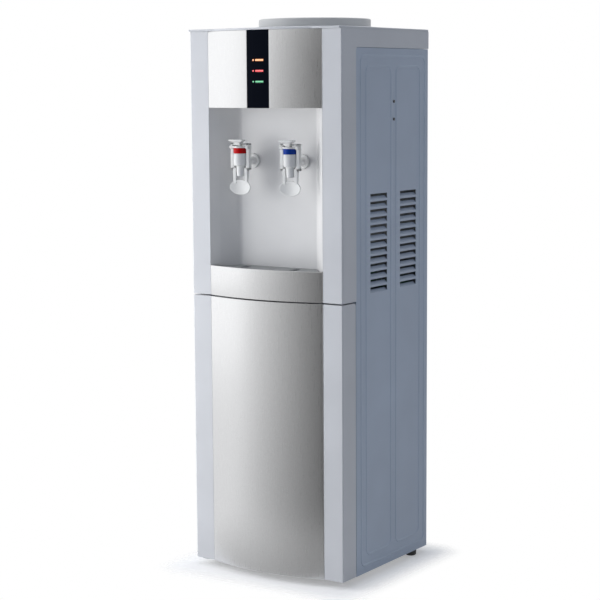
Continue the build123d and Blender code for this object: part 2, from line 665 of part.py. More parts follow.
def back_panel():
    """Recessed back sheet with fan slots and holes for the rear fittings."""
    panel = block(-INNER_X, INNER_X, BACK_PANEL_Y, BACK_FACE_Y, BASE_TOP_Z, BAND_Z - FIT)
    cuts = []
    slot_half = FAN_RADIUS
    pitch = 2 * slot_half / VENT_ROWS
    for row in range(VENT_ROWS):
        offset = (row - (VENT_ROWS - 1) / 2) * pitch
        half = math.sqrt(slot_half**2 - offset**2)
        z = FAN_Z + offset
        cuts.append(block(-half, half, BACK_PANEL_Y - 1, BACK_FACE_Y + 1, z - pitch / 4, z + pitch / 4))
    half_x = SWITCH_WIDTH / 2 + FIT
    z0 = SWITCH_Z - SWITCH_LENGTH / 2 - FIT
    z1 = SWITCH_Z + SWITCH_LENGTH / 2 + FIT
    for x in switch_places():
        cuts.append(block(x - half_x, x + half_x, BACK_PANEL_Y - 1, BACK_FACE_Y + 1, z0, z1))
    cuts.append(rod_y(0, BACK_PANEL_Y - 1, BACK_FACE_Y + 1, DRAIN_Z, DRAIN_RADIUS + FIT))
    cuts.append(rod_y(GLAND_X, BACK_PANEL_Y - 1, BACK_FACE_Y + 1, GLAND_Z, GLAND_RADIUS + FIT))
    for x, z in back_screw_places():
        cuts.append(rod_y(x, BACK_PANEL_Y - 1, BACK_FACE_Y + 1, z, SCREW_RADIUS + FIT / 2))
    return panel - cuts


def back_screw_places():
    """Screws up both edges of the back panel."""
    return [(side * BACK_SCREW_X, z) for side in (-1, 1) for z in BACK_SCREW_Z]


def panel_screws():
    """Screws through the side panels into the cradle, and through the back panel into the side rails."""
    screws = []
    for side in (-1, 1):
        face = side * PANEL_FACE_X
        head = face + side * SCREW_HEAD_THICKNESS
        tip = face - side * SCREW_LENGTH
        for z in SIDE_SCREW_Z:
            screw = rod_x(min(face, head), max(face, head), SIDE_SCREW_Y, z, SCREW_HEAD)
            screw += rod_x(min(tip, face), max(tip, face), SIDE_SCREW_Y, z, SCREW_RADIUS)
            screws.append(screw)
    for x, z in back_screw_places():
        screw = rod_y(x, BACK_FACE_Y, BACK_FACE_Y + SCREW_HEAD_THICKNESS, z, SCREW_HEAD)
        screw += rod_y(x, BACK_FACE_Y - SCREW_LENGTH, BACK_FACE_Y, z, SCREW_RADIUS)
        screws.append(screw)
    return group(screws)


def equipment_deck():
    """Sheet shelf over the cupboard, with turned-down sides."""
    back_y = RAIL_Y - FIT
    deck = block(-INNER_X, INNER_X, CABINET_Y, back_y, DECK_Z, DECK_TOP_Z)
    side_y = CABINET_Y + LINER_WALL + FIT
    deck += both_sides(block(INNER_X - SHEET, INNER_X, side_y, back_y, DECK_Z - FLANGE, DECK_TOP_Z))
    return deck


def cabinet_liner():
    """Moulded cupboard box, open at the front, with shelf ledges and runners underneath."""
    liner = block(-LINER_HALF, LINER_HALF, CABINET_Y, LINER_BACK_Y, LINER_Z, LINER_TOP_Z)
    liner += block(-INNER_X, INNER_X, CABINET_Y, CABINET_Y + LINER_WALL, BASE_TOP_Z, LINER_TOP_Z)
    inner = LINER_HALF - LINER_WALL
    back_y = LINER_BACK_Y - LINER_WALL
    floor_z = LINER_Z + LINER_WALL
    liner -= block(-inner, inner, CABINET_Y - 1, back_y, floor_z, LINER_TOP_Z - LINER_WALL)
    liner += both_sides(block(inner - LEDGE, inner, CABINET_Y + SHELF_LIP, back_y, SHELF_Z - LEDGE, SHELF_Z))
    runner = inner / 2
    return liner + both_sides(
        block(runner - LEDGE, runner + LEDGE, CABINET_Y, LINER_BACK_Y, BASE_TOP_Z, LINER_Z)
    )


def cabinet_shelf():
    """Loose-laid shelf with a turned-down front lip."""
    half = LINER_HALF - LINER_WALL - FIT
    front = CABINET_Y + SHELF_LIP
    back = LINER_BACK_Y - LINER_WALL - FIT
    shelf = block(-half, half, front, back, SHELF_Z, SHELF_Z + SHELF_THICKNESS)
    lip_half = half - LEDGE - FIT
    lip_z = SHELF_Z - SHELF_LIP
    return shelf + block(-lip_half, lip_half, front, front + SHELF_THICKNESS, lip_z, SHELF_Z)


# Upper front and top


def front_hood():
    """Pillars, side returns, top band, bottom web and the cross wall behind the fascia."""
    side = pillar(HOOD_BACK_Y, HOOD_Z, COVER_Z)
    side += pillar_cap(HOOD_BACK_Y, HOOD_Z, WEB_TOP_Z)
    side += block(HOOD_INNER_X, HALF, HOOD_BACK_Y - 1, BACK_Y, BAND_Z, COVER_Z)
    corner_y = HOOD_BACK_Y + BAND_CORNER
    corner_z = BAND_Z - BAND_CORNER
    web = block(HOOD_INNER_X, HALF, HOOD_BACK_Y - 1, corner_y, corner_z, BAND_Z + 1)
    web -= rod_x(HOOD_INNER_X - 1, HALF + 1, corner_y, corner_z, BAND_CORNER)
    hood = both_sides(side + web)
    hood += block(-HALF, HALF, BACK_Y - WALL, BACK_Y, BAND_Z, COVER_Z)
    hood += block(-HOOD_INNER_X, HOOD_INNER_X, BACK_FACE_Y - SHEET, BACK_Y - WALL, BAND_Z, BAND_Z + WALL)
    cap_half = PANEL_HALF + WALL
    hood += block(-cap_half, cap_half, FRONT_INNER_Y, HOOD_BACK_Y, HOOD_Z, WEB_TOP_Z)
    cross_z = ALCOVE_TOP_Z + WALL + FIT
    hood += block(-cap_half, cap_half, JAMB_Y - WALL, JAMB_Y, cross_z, COVER_Z)
    board_y = NOSE_Y + BOARD_SETBACK + BOARD_THICKNESS
    for x, z in board_screw_places():
        hood += rod_y(x, board_y, JAMB_Y - WALL / 2, z, BOSS_RADIUS)
    hood -= post(HINGE_X, HINGE_Y, HOOD_Z - 1, WEB_TOP_Z + 1, HINGE_PIN_RADIUS + PIVOT_CLEARANCE)
    return hood


def top_cover():
    """Plate over the whole plan, raised to a dome around the bottle hole."""
    cover = block(-HALF, HALF, FACE_Y, BACK_Y, COVER_Z, TOP_Z)
    corners = cover.edges().filter_by(Axis.Z)
    cover = fillet(corners, CORNER_RADIUS)
    cover += bow_segment(0.0, FACE_Y, COVER_Z, TOP_Z)
    dome = [
        (0, COVER_Z),
        (DOME_FOOT_RADIUS, COVER_Z),
        (DOME_FOOT_RADIUS, TOP_Z),
        (DOME_TOP_RADIUS, DOME_TOP_Z),
        (0, DOME_TOP_Z),
    ]
    cover += turned(dome, 0, AXIS_Y)
    hollow = [
        (0, COVER_Z - 1),
        (DOME_FOOT_RADIUS - WALL, COVER_Z - 1),
        (DOME_FOOT_RADIUS - WALL, COVER_Z + COVER_EDGE - WALL),
        (DOME_TOP_RADIUS - WALL / 2, DOME_TOP_Z - WALL),
        (0, DOME_TOP_Z - WALL),
    ]
    cover -= turned(hollow, 0, AXIS_Y)
    return cover - post(0, AXIS_Y, COVER_Z, DOME_TOP_Z + 1, COVER_HOLE_RADIUS)


def upper_fascia():
    """Bowed silver panel with a shallow bed for the window, a bottom return and two rear ribs."""
    top = COVER_Z - FIT
    fascia = bow_plate(FASCIA_HALF, 0.0, SKIN, FASCIA_Z, top)
    shelf_top = FASCIA_Z + WALL
    shelf = bow_segment(SKIN / 2, FRONT_INNER_Y, FASCIA_Z, shelf_top)
    fascia += shelf & block(-FASCIA_HALF, FASCIA_HALF, NOSE_Y, FRONT_INNER_Y, FASCIA_Z, shelf_top)
    rib_x = FASCIA_HALF / 2
    rib_y = bow_y(rib_x, BOW_RADIUS - SKIN / 2)
    fascia += both_sides(block(rib_x, rib_x + WALL, rib_y, JAMB_Y - WALL, ALCOVE_TOP_Z + 2 * WALL, top))
    fascia -= bow_plate(WINDOW_WIDTH / 2 + FIT, -1.0, WINDOW_THICKNESS + 1.0, FASCIA_Z - 1, top + 1)
    return fascia - lens_shapes(FIT / 2)


def display_window():
    """Black strip let into the fascia, with holes for the lights."""
    window = bow_plate(WINDOW_WIDTH / 2, 0.0, WINDOW_THICKNESS, FASCIA_Z, COVER_Z - FIT)
    return window - lens_shapes(FIT / 2)


def lens_heights():
    """The three lights, from the top down."""
    return [TOP_Z - LENS_TOP_DROP - row * LENS_PITCH for row in range(3)]


def lens(z, grow):
    """One dot and one bar, as light pipes that end just short of the board."""
    front = NOSE_Y + 2 * FIT
    back = NOSE_Y + BOARD_SETBACK - LENS_GAP
    dot = rod_y(DOT_OFFSET, front - 10 * grow, back, z, DOT_RADIUS + grow)
    half_x = BAR_LENGTH / 2 + grow
    half_z = BAR_HEIGHT / 2 + grow
    bar = block(BAR_OFFSET - half_x, BAR_OFFSET + half_x, front - 10 * grow, back, z - half_z, z + half_z)
    return [dot, bar]


def lens_shapes(grow):
    """All the lights, grown by a clearance."""
    return [shape for z in lens_heights() for shape in lens(z, grow)]


def board_screw_places():
    """Four bosses that carry the indicator board."""
    half_x = BOARD_WIDTH / 2 - BOARD_EDGE
    half_z = BOARD_HEIGHT / 2 - BOARD_EDGE
    return [(x, lens_heights()[1] + rise) for x in (-half_x, half_x) for rise in (-half_z, half_z)]


def indicator_board():
    """Small circuit board with a lamp behind each light."""
    y0 = NOSE_Y + BOARD_SETBACK
    half = BOARD_WIDTH / 2
    z0 = lens_heights()[1] - BOARD_HEIGHT / 2
    board = block(-half, half, y0, y0 + BOARD_THICKNESS, z0, z0 + BOARD_HEIGHT)
    for z in lens_heights():
        for x in (DOT_OFFSET, BAR_OFFSET):
            board += Pos(x, y0 - LAMP_HEIGHT / 2, z) * Box(LAMP_SIZE, LAMP_HEIGHT, LAMP_SIZE)
    return board


def alcove_liner():
    """Recess with splayed sides and a flat back, open at the front and below, with tap holes."""
    lip = ALCOVE_LIP_Y
    wall = [
        (splay_x(LINER_REAR_Y, -WALL), LINER_REAR_Y),
        (splay_x(lip, -WALL), lip),
        (splay_x(lip, 0), lip),
        (splay_x(ALCOVE_BACK_Y, 0), ALCOVE_BACK_Y),
    ]
    liner = prism_z(wall + [(-x, y) for x, y in reversed(wall)], WEB_TOP_Z, ALCOVE_TOP_Z)
    ceiling = [wall[0], (splay_x(FRONT_INNER_Y, -WALL), FRONT_INNER_Y)]
    liner += prism_z(ceiling + [(-x, y) for x, y in reversed(ceiling)], ALCOVE_TOP_Z, ALCOVE_TOP_Z + WALL)
    liner -= block(-HALF, HALF, NOSE_Y, FRONT_INNER_Y, WEB_TOP_Z - 1, TRAY_LIP_Z + RUN)
    for x in (-TAP_X, TAP_X):
        liner -= rod_y(x, ALCOVE_BACK_Y - 1, LINER_REAR_Y + 1, SHANK_Z, SHANK_RADIUS + FIT)
    return liner


def drip_tray():
    """Shallow tray whose plan follows the alcove and the bowed front."""
    depth = SKIN + FIT / 2
    tray = alcove_plan(TRAY_CLEARANCE, depth, TRAY_BACK_Y, TRAY_Z, TRAY_RIM_Z)
    inset = TRAY_CLEARANCE + TRAY_WALL
    back_y = TRAY_BACK_Y - TRAY_WALL
    return tray - alcove_plan(inset, depth + TRAY_WALL, back_y, TRAY_Z + TRAY_WALL, TRAY_RIM_Z + 1)


def tray_fascia():
    """Silver bowed front of the tray, standing a little above the grille."""
    fascia = bow_plate(FASCIA_HALF, 0.0, SKIN, HOOD_Z, TRAY_LIP_Z)
    top_edges = fascia.edges().group_by(Axis.Z)[-1]
    return fillet(top_edges, SKIN / 4)


def drip_grille():
    """Lift-off plate on the tray's rim, with a long hole under each tap."""
    grille = alcove_plan(TRAY_CLEARANCE + FIT, SKIN + RUN, TRAY_BACK_Y - FIT, GRILLE_Z, GRILLE_TOP_Z)
    outline = Rot(0, 0, 90) * SlotOverall(GRILLE_HOLE_LENGTH, GRILLE_HOLE_WIDTH)
    hole = extrude(outline, amount=2 * GRILLE_THICKNESS)
    hole_y = FACE_Y + GRILLE_HOLE_SETBACK
    return grille - [Pos(x, hole_y, GRILLE_Z - GRILLE_THICKNESS / 2) * hole for x in (-TAP_X, TAP_X)]


# Bottle seat


def bottle_guard():
    """Collar, funnel and neck well in one moulding, dropped into the cover's hole."""
    foot_z = DOME_TOP_Z + FIT
    lip_radius = COLLAR_RADIUS - RIM_WIDTH - WALL
    lip_z = RIM_Z - WALL
    throat_radius = NECK_RADIUS + THROAT_FLARE
    slope = (lip_z - THROAT_Z) / (lip_radius - throat_radius)
    sink = WALL * math.hypot(1.0, slope)
    spigot = COVER_HOLE_RADIUS - RUN
    skirt = spigot - WALL
    well_outer = NECK_RADIUS + WALL
    neck_z = THROAT_Z - THROAT_DROP
    floor_z = WELL_Z - WALL
    hole = SPIKE_RADIUS + FIT / 2
    profile = [
        (COLLAR_RADIUS, foot_z),
        (COLLAR_RADIUS, RIM_Z - WALL),
        (COLLAR_RADIUS - WALL / 2, RIM_Z),
        (COLLAR_RADIUS - RIM_WIDTH, RIM_Z),
        (lip_radius, lip_z),
        (throat_radius, THROAT_Z),
        (NECK_RADIUS, neck_z),
        (NECK_RADIUS, WELL_Z),
        (hole, WELL_Z),
        (hole, floor_z),
        (well_outer, floor_z),
        (well_outer, neck_z - WALL / 2),
        (throat_radius + WALL / 2, THROAT_Z - sink),
        (skirt, lip_z + (skirt - lip_radius) * slope - sink),
        (skirt, foot_z - 2 * WALL),
        (spigot, foot_z - 2 * WALL),
        (spigot, foot_z),
    ]
    return turned(profile, 0, AXIS_Y)


def feed_spike():
    """Hollow probe with a pointed head and side ports, seated in the floor of the neck well."""
    top = WELL_Z + SPIKE_HEIGHT
    bottom = LID_TOP_Z - LID_THICKNESS - 2 * WALL
    bore = SPIKE_RADIUS - WALL
    profile = [
        (bore, bottom),
        (SPIKE_RADIUS, bottom),
        (SPIKE_RADIUS, WELL_Z),
        (SPIKE_RADIUS + 2 * WALL, WELL_Z),
        (SPIKE_RADIUS + 2 * WALL, WELL_Z + WALL),
        (SPIKE_RADIUS, WELL_Z + WALL),
        (SPIKE_RADIUS, top),
        (WALL, top + SPIKE_RADIUS),
        (0, top + SPIKE_RADIUS),
        (0, top - WALL),
        (bore, top - WALL),
    ]
    spike = turned(profile, 0, AXIS_Y)
    port_z = top - 3 * WALL
    reach = SPIKE_RADIUS + 1
    spike -= rod_x(-reach, reach, AXIS_Y, port_z, WALL)
    return spike - rod_y(0, AXIS_Y - reach, AXIS_Y + reach, port_z, WALL)


def guard_seal():
    """Flat ring between the neck well and the tank's lid."""
    inner = SPIKE_RADIUS + FIT
    profile = [
        (inner, LID_TOP_Z + FIT),
        (2 * SPIKE_RADIUS, LID_TOP_Z + FIT),
        (2 * SPIKE_RADIUS, WELL_Z - WALL),
        (inner, WELL_Z - WALL),
    ]
    return turned(profile, 0, AXIS_Y)


# Door


def hinge_boss(z0, z1):
    """Moulded boss around a hinge bush."""
    return post(HINGE_X, HINGE_Y, z0, z1, HINGE_PIN_RADIUS + PIVOT_CLEARANCE + BUSH_WALL + BOSS_WALL)


def door_frame():
    """Both pillars, top and bottom plates, two ribs and the hinge bosses."""
    frame = both_sides(pillar(DOOR_BACK_Y, DOOR_Z, DOOR_TOP_Z))
    pan_y = DOOR_BACK_Y - LINER_WALL
    third = (DOOR_TOP_Z - DOOR_Z) / 3
    levels = [
        (DOOR_Z, DOOR_BACK_Y),
        (DOOR_Z + third, pan_y),
        (DOOR_TOP_Z - third - WALL, pan_y),
        (DOOR_TOP_Z - WALL, DOOR_BACK_Y),
    ]
    middle = PANEL_HALF + WALL
    for z, back_y in levels:
        frame += both_sides(pillar_cap(back_y, z, z + WALL))
        frame += block(-middle, middle, FRONT_INNER_Y, back_y, z, z + WALL)
        frame += bow_segment(SKIN + FIT, FRONT_INNER_Y, z, z + WALL)
    bush_radius = HINGE_PIN_RADIUS + PIVOT_CLEARANCE + BUSH_WALL
    reach = HINGE_PIN_REACH
    frame += hinge_boss(DOOR_Z, DOOR_Z + reach)
    frame += hinge_boss(DOOR_TOP_Z - reach, DOOR_TOP_Z)
    frame -= post(HINGE_X, HINGE_Y, DOOR_Z - 1, DOOR_Z + reach + 1, bush_radius)
    corner_y = DOOR_BACK_Y - DOOR_CORNER
    corner_z = DOOR_TOP_Z - DOOR_CORNER
    corner = block(HOOD_INNER_X, HALF + 1, corner_y, DOOR_BACK_Y + 1, corner_z, DOOR_TOP_Z + 1)
    frame -= both_sides(corner - rod_x(HOOD_INNER_X - 1, HALF + 2, corner_y, corner_z, DOOR_CORNER))
    return frame - post(HINGE_X, HINGE_Y, DOOR_TOP_Z - reach - 1, DOOR_TOP_Z + 1, bush_radius)


def door_skin():
    """Bowed silver front of the door."""
    return bow_plate(FASCIA_HALF, 0.0, SKIN, DOOR_Z, DOOR_TOP_Z)


def door_liner():
    """Flat inner pan that closes the back of the door."""
    half = HOOD_INNER_X - FIT
    bottom = DOOR_Z + WALL + FIT
    top = DOOR_TOP_Z - WALL - FIT
    return block(-half, half, DOOR_BACK_Y - LINER_WALL, DOOR_BACK_Y, bottom, top)


def catch_top_z():
    """Upper edge of the catch's meeting face."""
    return DOOR_TOP_Z - WALL - 2 * RUN


def catch_strike():
    """Steel plate on the door's inner pan."""
    top = catch_top_z()
    half = CATCH_WIDTH / 2
    return block(CATCH_X - half, CATCH_X + half, DOOR_BACK_Y, DOOR_BACK_Y + SHEET, top - CATCH_HEIGHT, top)


def magnet_catch():
    """Magnet block hung from the cupboard's ceiling, reaching out to the strike."""
    top = catch_top_z()
    half = CATCH_WIDTH / 2
    face = DOOR_BACK_Y + SHEET + FIT
    ceiling = LINER_TOP_Z - LINER_WALL
    root = CABINET_Y + 3 * LINER_WALL
    catch = block(CATCH_X - half, CATCH_X + half, face, root + CATCH_WIDTH / 2, top - CATCH_HEIGHT, top)
    return catch + block(CATCH_X - half, CATCH_X + half, root, root + CATCH_WIDTH / 2, top - 1, ceiling)


def upper_hinge_pin():
    """Headed pin dropped through the hood's web into the door's top bush."""
    bottom = DOOR_TOP_Z - HINGE_PIN_REACH
    pin = post(HINGE_X, HINGE_Y, bottom, WEB_TOP_Z, HINGE_PIN_RADIUS)
    return pin + post(HINGE_X, HINGE_Y, WEB_TOP_Z, WEB_TOP_Z + WALL, HINGE_PIN_RADIUS + WALL)


def lower_hinge_bracket():
    """Plate under the base with a pin standing up into the door's bottom bush."""
    z0 = BODY_Z - BRACKET_THICKNESS
    half = BRACKET_WIDTH / 2
    plate = post(HINGE_X, HINGE_Y, z0, BODY_Z, half)
    plate += block(HINGE_X - half, HINGE_X + half, HINGE_Y, CABINET_Y + BRACKET_TAIL, z0, BODY_Z)
    return plate + post(HINGE_X, HINGE_Y, BODY_Z, DOOR_Z + HINGE_PIN_REACH, HINGE_PIN_RADIUS)


def hinge_bushes():
    """Two flanged bushes, pressed into the door's bosses."""
    bore = HINGE_PIN_RADIUS + PIVOT_CLEARANCE
    outer = bore + BUSH_WALL
    wide = outer + BUSH_WALL
    reach = HINGE_PIN_REACH - WALL
    lower = [
        (bore, DOOR_Z - BUSH_FLANGE),
        (wide, DOOR_Z - BUSH_FLANGE),
        (wide, DOOR_Z),
        (outer, DOOR_Z),
        (outer, DOOR_Z + reach),
        (bore, DOOR_Z + reach),
    ]
    upper = [
        (bore, DOOR_TOP_Z + BUSH_FLANGE),
        (wide, DOOR_TOP_Z + BUSH_FLANGE),
        (wide, DOOR_TOP_Z),
        (outer, DOOR_TOP_Z),
        (outer, DOOR_TOP_Z - reach),
        (bore, DOOR_TOP_Z - reach),
    ]
    return group([turned(lower, HINGE_X, HINGE_Y), turned(upper, HINGE_X, HINGE_Y)])


# Taps


def tap_body(x):
    """Barrel with nozzle, ring neck, pivot head, shank and wall flange."""
    neck = BARREL_RADIUS - RING_WALL
    profile = [
        (0, NOZZLE_Z),
        (NOZZLE_TIP_RADIUS, NOZZLE_Z),
        (NOZZLE_RADIUS, BARREL_Z),
        (BARREL_RADIUS, BARREL_Z),
        (BARREL_RADIUS, RING_Z),
        (neck, RING_Z),
        (neck, RING_TOP_Z),
        (BARREL_RADIUS, RING_TOP_Z),
        (BARREL_RADIUS, HEAD_TOP_Z),
        (0, HEAD_TOP_Z),
    ]
    body = turned(profile, x, TAP_Y)
    ear_half = BARREL_RADIUS + LEVER_GAP / 2
    ear_front = PIVOT_Y - ARM_DEPTH / 2
    body += block(x - ear_half, x + ear_half, ear_front, ear_front + ARM_DEPTH, RING_TOP_Z, HEAD_TOP_Z)
    pin_half = ARM_X + ARM_WIDTH
    body += rod_x(x - pin_half, x + pin_half, PIVOT_Y, PIVOT_Z, TRUNNION_RADIUS)
    body += rod_y(x, TAP_Y, SHANK_END_Y, SHANK_Z, SHANK_RADIUS)
    body += rod_y(x, SHANK_END_Y, BARB_END_Y, SHANK_Z, BARB_RADIUS)
    body += rod_y(x, FLANGE_BACK_Y - FLANGE_THICKNESS, FLANGE_BACK_Y, SHANK_Z, FLANGE_RADIUS)
    body -= post(x, TAP_Y, BARREL_Z + WALL, HEAD_TOP_Z + 1, BARREL_BORE)
    body -= post(x, TAP_Y, NOZZLE_Z - 1, BARREL_Z + WALL + 1, SHANK_BORE)
    return body - rod_y(x, TAP_Y, BARB_END_Y + 1, SHANK_Z, SHANK_BORE - 1)


def tap_ring(x):
    """Coloured collar with a gap at the back, sprung onto the barrel's neck."""
    inner = BARREL_RADIUS - RING_WALL + FIT / 2
    z0 = RING_Z + FIT / 2
    z1 = RING_TOP_Z - FIT / 2
    ring = turned([(inner, z0), (BARREL_RADIUS, z0), (BARREL_RADIUS, z1), (inner, z1)], x, TAP_Y)
    gap = BARREL_RADIUS / 2
    return ring - block(x - gap, x + gap, TAP_Y, TAP_Y + 2 * BARREL_RADIUS, z0 - 1, z1 + 1)


def tap_lever(x):
    """Thumb plate on a bridge, two arms astride the barrel, and the dished paddle below the nozzle."""
    lever = both_sides(lever_arm())
    outer = ARM_X + ARM_WIDTH
    arm_half = ARM_DEPTH / 2
    bridge_top = BRIDGE_Z + BRIDGE_THICKNESS
    bridge = block(-outer, outer, TAP_Y - arm_half, TAP_Y + arm_half, BRIDGE_Z, bridge_top)
    fork_half = FORK_WIDTH / 2
    neck_y = TAP_Y - NECK_SETBACK
    bridge += block(-fork_half, fork_half, neck_y - arm_half, TAP_Y + FORK_REACH, BRIDGE_Z, bridge_top)
    slot_half = FORK_SLOT / 2
    slot_front = TAP_Y - slot_half - RUN
    slot_back = TAP_Y + 2 * FORK_REACH
    lever += bridge - block(-slot_half, slot_half, slot_front, slot_back, BRIDGE_Z - 1, bridge_top + 1)
    plate_z = bridge_top + THUMB_NECK
    thumb_front = TAP_Y - THUMB_REACH
    thumb_half = THUMB_WIDTH / 2
    low = Pos(0, neck_y, bridge_top) * Rectangle(FORK_WIDTH, ARM_DEPTH)
    high = Pos(0, thumb_front + THUMB_DEPTH / 2, plate_z) * Rectangle(THUMB_WIDTH, THUMB_DEPTH)
    lever += loft([low, high])
    thumb_back = thumb_front + THUMB_DEPTH
    lever += block(-thumb_half, thumb_half, thumb_front, thumb_back, plate_z, plate_z + THUMB_THICKNESS)
    lever += tap_paddle()
    lever -= rod_x(-outer - 1, outer + 1, PIVOT_Y, PIVOT_Z, TRUNNION_RADIUS + PIVOT_CLEARANCE)
    return Pos(x, 0, 0) * lever


def tap_paddle():
    """Oval cut from a hollow ball, with its hollow towards the front."""
    half = PADDLE_WIDTH / 2
    ball = (half**2 + PADDLE_DISH**2) / (2 * PADDLE_DISH)
    middle = Pos(0, PADDLE_BED_Y - ball, PADDLE_Z)
    shell = middle * Sphere(ball + PADDLE_THICKNESS) - middle * Sphere(ball)
    face = Plane(origin=(0, PADDLE_BED_Y - 2 * PADDLE_DISH, PADDLE_Z), x_dir=(1, 0, 0), z_dir=(0, 1, 0))
    return shell & extrude(face * Ellipse(half, PADDLE_HEIGHT / 2), amount=4 * PADDLE_DISH)


def lever_arm():
    """The right arm: an eye at the pin, straight down beside the barrel, in by a step, on to the paddle."""
    outer = ARM_X + ARM_WIDTH
    inner = NOZZLE_RADIUS + LEVER_GAP
    front = TAP_Y - ARM_DEPTH / 2
    back = TAP_Y + ARM_DEPTH / 2
    step_top = BARREL_Z - STEP_DROP
    step_z = step_top - STEP_HEIGHT
    arm = block(ARM_X, outer, front, back, step_z, BRIDGE_Z + BRIDGE_THICKNESS)
    arm += rod_x(ARM_X, outer, PIVOT_Y, PIVOT_Z, EYE_RADIUS)
    arm += block(inner, outer, front, back, step_z, step_top)
    root_front = PADDLE_BED_Y - PADDLE_DISH / 2
    root_back = root_front + PADDLE_THICKNESS
    lower = [
        (front, step_top),
        (back, step_top),
        (root_back, PADDLE_Z + PADDLE_HEIGHT / 2),
        (root_back, PADDLE_Z + PADDLE_HEIGHT / 4),
        (root_front, PADDLE_Z + PADDLE_HEIGHT / 4),
        (front, step_z),
    ]
    return arm + prism_x(lower, inner, inner + ARM_WIDTH)


def tap_plunger(x):
    """Stem with a guide disc, a valve cone on the nozzle's seat, and a head above the lever's fork."""
    seat_z = BARREL_Z + WALL + FIT
    valve = SHANK_BORE + VALVE_OVERLAP
    guide = BARREL_BORE - FIT
    guide_z = (RING_Z + RING_TOP_Z - GUIDE_THICKNESS) / 2
    head_z = BRIDGE_Z + BRIDGE_THICKNESS + STEM_LOST_MOTION
    profile = [
        (0, seat_z),
        (valve, seat_z),
        (valve, seat_z + VALVE_OVERLAP),
        (STEM_RADIUS, seat_z + valve),
        (STEM_RADIUS, guide_z),
        (guide, guide_z),
        (guide, guide_z + GUIDE_THICKNESS),
        (STEM_RADIUS, guide_z + GUIDE_THICKNESS),
        (STEM_RADIUS, HEAD_TOP_Z - WALL),
        (STEM_NECK, HEAD_TOP_Z - WALL),
        (STEM_NECK, head_z),
        (STEM_HEAD, head_z),
        (STEM_HEAD, head_z + STEM_HEAD_THICKNESS),
        (0, head_z + STEM_HEAD_THICKNESS),
    ]
    return turned(profile, x, TAP_Y)


def tap_gaskets():
    """A soft washer between each tap flange and the alcove wall."""
    return group(
        [
            tube_y(x, FLANGE_BACK_Y, ALCOVE_BACK_Y, SHANK_Z, FLANGE_RADIUS - GASKET_INSET, SHANK_RADIUS + FIT)
            for x in (-TAP_X, TAP_X)
        ]
    )


def tap_nuts():
    """A hexagon nut on each shank behind the alcove wall."""
    nuts = []
    for x in (-TAP_X, TAP_X):
        face = Plane(origin=(x, LINER_REAR_Y, SHANK_Z), x_dir=(1, 0, 0), z_dir=(0, 1, 0))
        nut = extrude(face * RegularPolygon(NUT_RADIUS, 6), amount=NUT_THICKNESS)
        nuts.append(nut - rod_y(x, LINER_REAR_Y - 1, SHANK_END_Y, SHANK_Z, SHANK_RADIUS + FIT / 2))
    return group(nuts)


# Tanks and cooling


def cold_tank():
    """Open steel cup with an outlet to the cold tap and one underneath."""
    tank = post(0, AXIS_Y, COLD_Z, COLD_TOP_Z, COLD_RADIUS)
    outlet_y = AXIS_Y - INSULATION_RADIUS
    tank += rod_y(TAP_X, outlet_y, AXIS_Y, SHANK_Z, NIPPLE_RADIUS)
    tank += post(0, AXIS_Y, COLD_Z - INSULATION - NIPPLE_LENGTH, COLD_Z, NIPPLE_RADIUS)
    tank -= post(0, AXIS_Y, COLD_Z + SHEET, COLD_TOP_Z + 1, COLD_RADIUS - SHEET)
    bore = NIPPLE_RADIUS - SHEET
    tank -= rod_y(TAP_X, outlet_y - 1, AXIS_Y, SHANK_Z, bore)
    return tank - post(0, AXIS_Y, COLD_Z - INSULATION - NIPPLE_LENGTH - 1, COLD_Z + 2 * SHEET, bore)


def cold_tank_lid():
    """Plastic lid with a spigot into the tank and a hole for the probe."""
    lid = post(0, AXIS_Y, COLD_TOP_Z, LID_TOP_Z, COLD_RADIUS + INSULATION / 2)
    spigot = COLD_RADIUS - SHEET - FIT
    ring = post(0, AXIS_Y, COLD_TOP_Z - 2 * WALL, COLD_TOP_Z, spigot)
    ring -= post(0, AXIS_Y, COLD_TOP_Z - 2 * WALL - 1, COLD_TOP_Z, spigot - WALL)
    return lid + ring - post(0, AXIS_Y, COLD_TOP_Z - 1, LID_TOP_Z + 1, SPIKE_RADIUS + RUN)


def module_window(grow):
    """The space that the cold block takes through the insulation."""
    half = MODULE_SIZE / 2 + grow
    return block(-half, half, AXIS_Y, MODULE_FRONT_Y, FAN_Z - half, FAN_Z + half)


def tank_insulation():
    """Foam cup round the cold tank."""
    cup = post(0, AXIS_Y, INSULATION_Z, COLD_TOP_Z - FIT, INSULATION_RADIUS)
    cup -= post(0, AXIS_Y, COLD_Z, COLD_TOP_Z, COLD_RADIUS + FIT)
    cup -= module_window(FIT)
    cup -= post(0, AXIS_Y, INSULATION_Z - 1, COLD_Z + 1, TUBE_RADIUS + FIT)
    return cup - rod_y(TAP_X, AXIS_Y - INSULATION_RADIUS, AXIS_Y, SHANK_Z, TUBE_RADIUS + FIT)


def tank_cradle():
    """U-shaped strap under the insulation, screwed to both side panels."""
    y0 = AXIS_Y - CRADLE_WIDTH / 2
    y1 = AXIS_Y + CRADLE_WIDTH / 2
    floor_z = INSULATION_Z - CRADLE_SHEET
    strap = block(-INNER_X, INNER_X, y0, y1, floor_z, INSULATION_Z)
    top = TOP_Z - CRADLE_DROP
    strap += both_sides(block(INNER_X - CRADLE_SHEET, INNER_X, y0, y1, floor_z, top))
    strap -= post(0, AXIS_Y, floor_z - 1, INSULATION_Z + 1, TUBE_RADIUS + FIT)
    for z in SIDE_SCREW_Z:
        strap -= rod_x(-INNER_X - 1, INNER_X + 1, SIDE_SCREW_Y, z, SCREW_RADIUS + FIT / 2)
    return strap


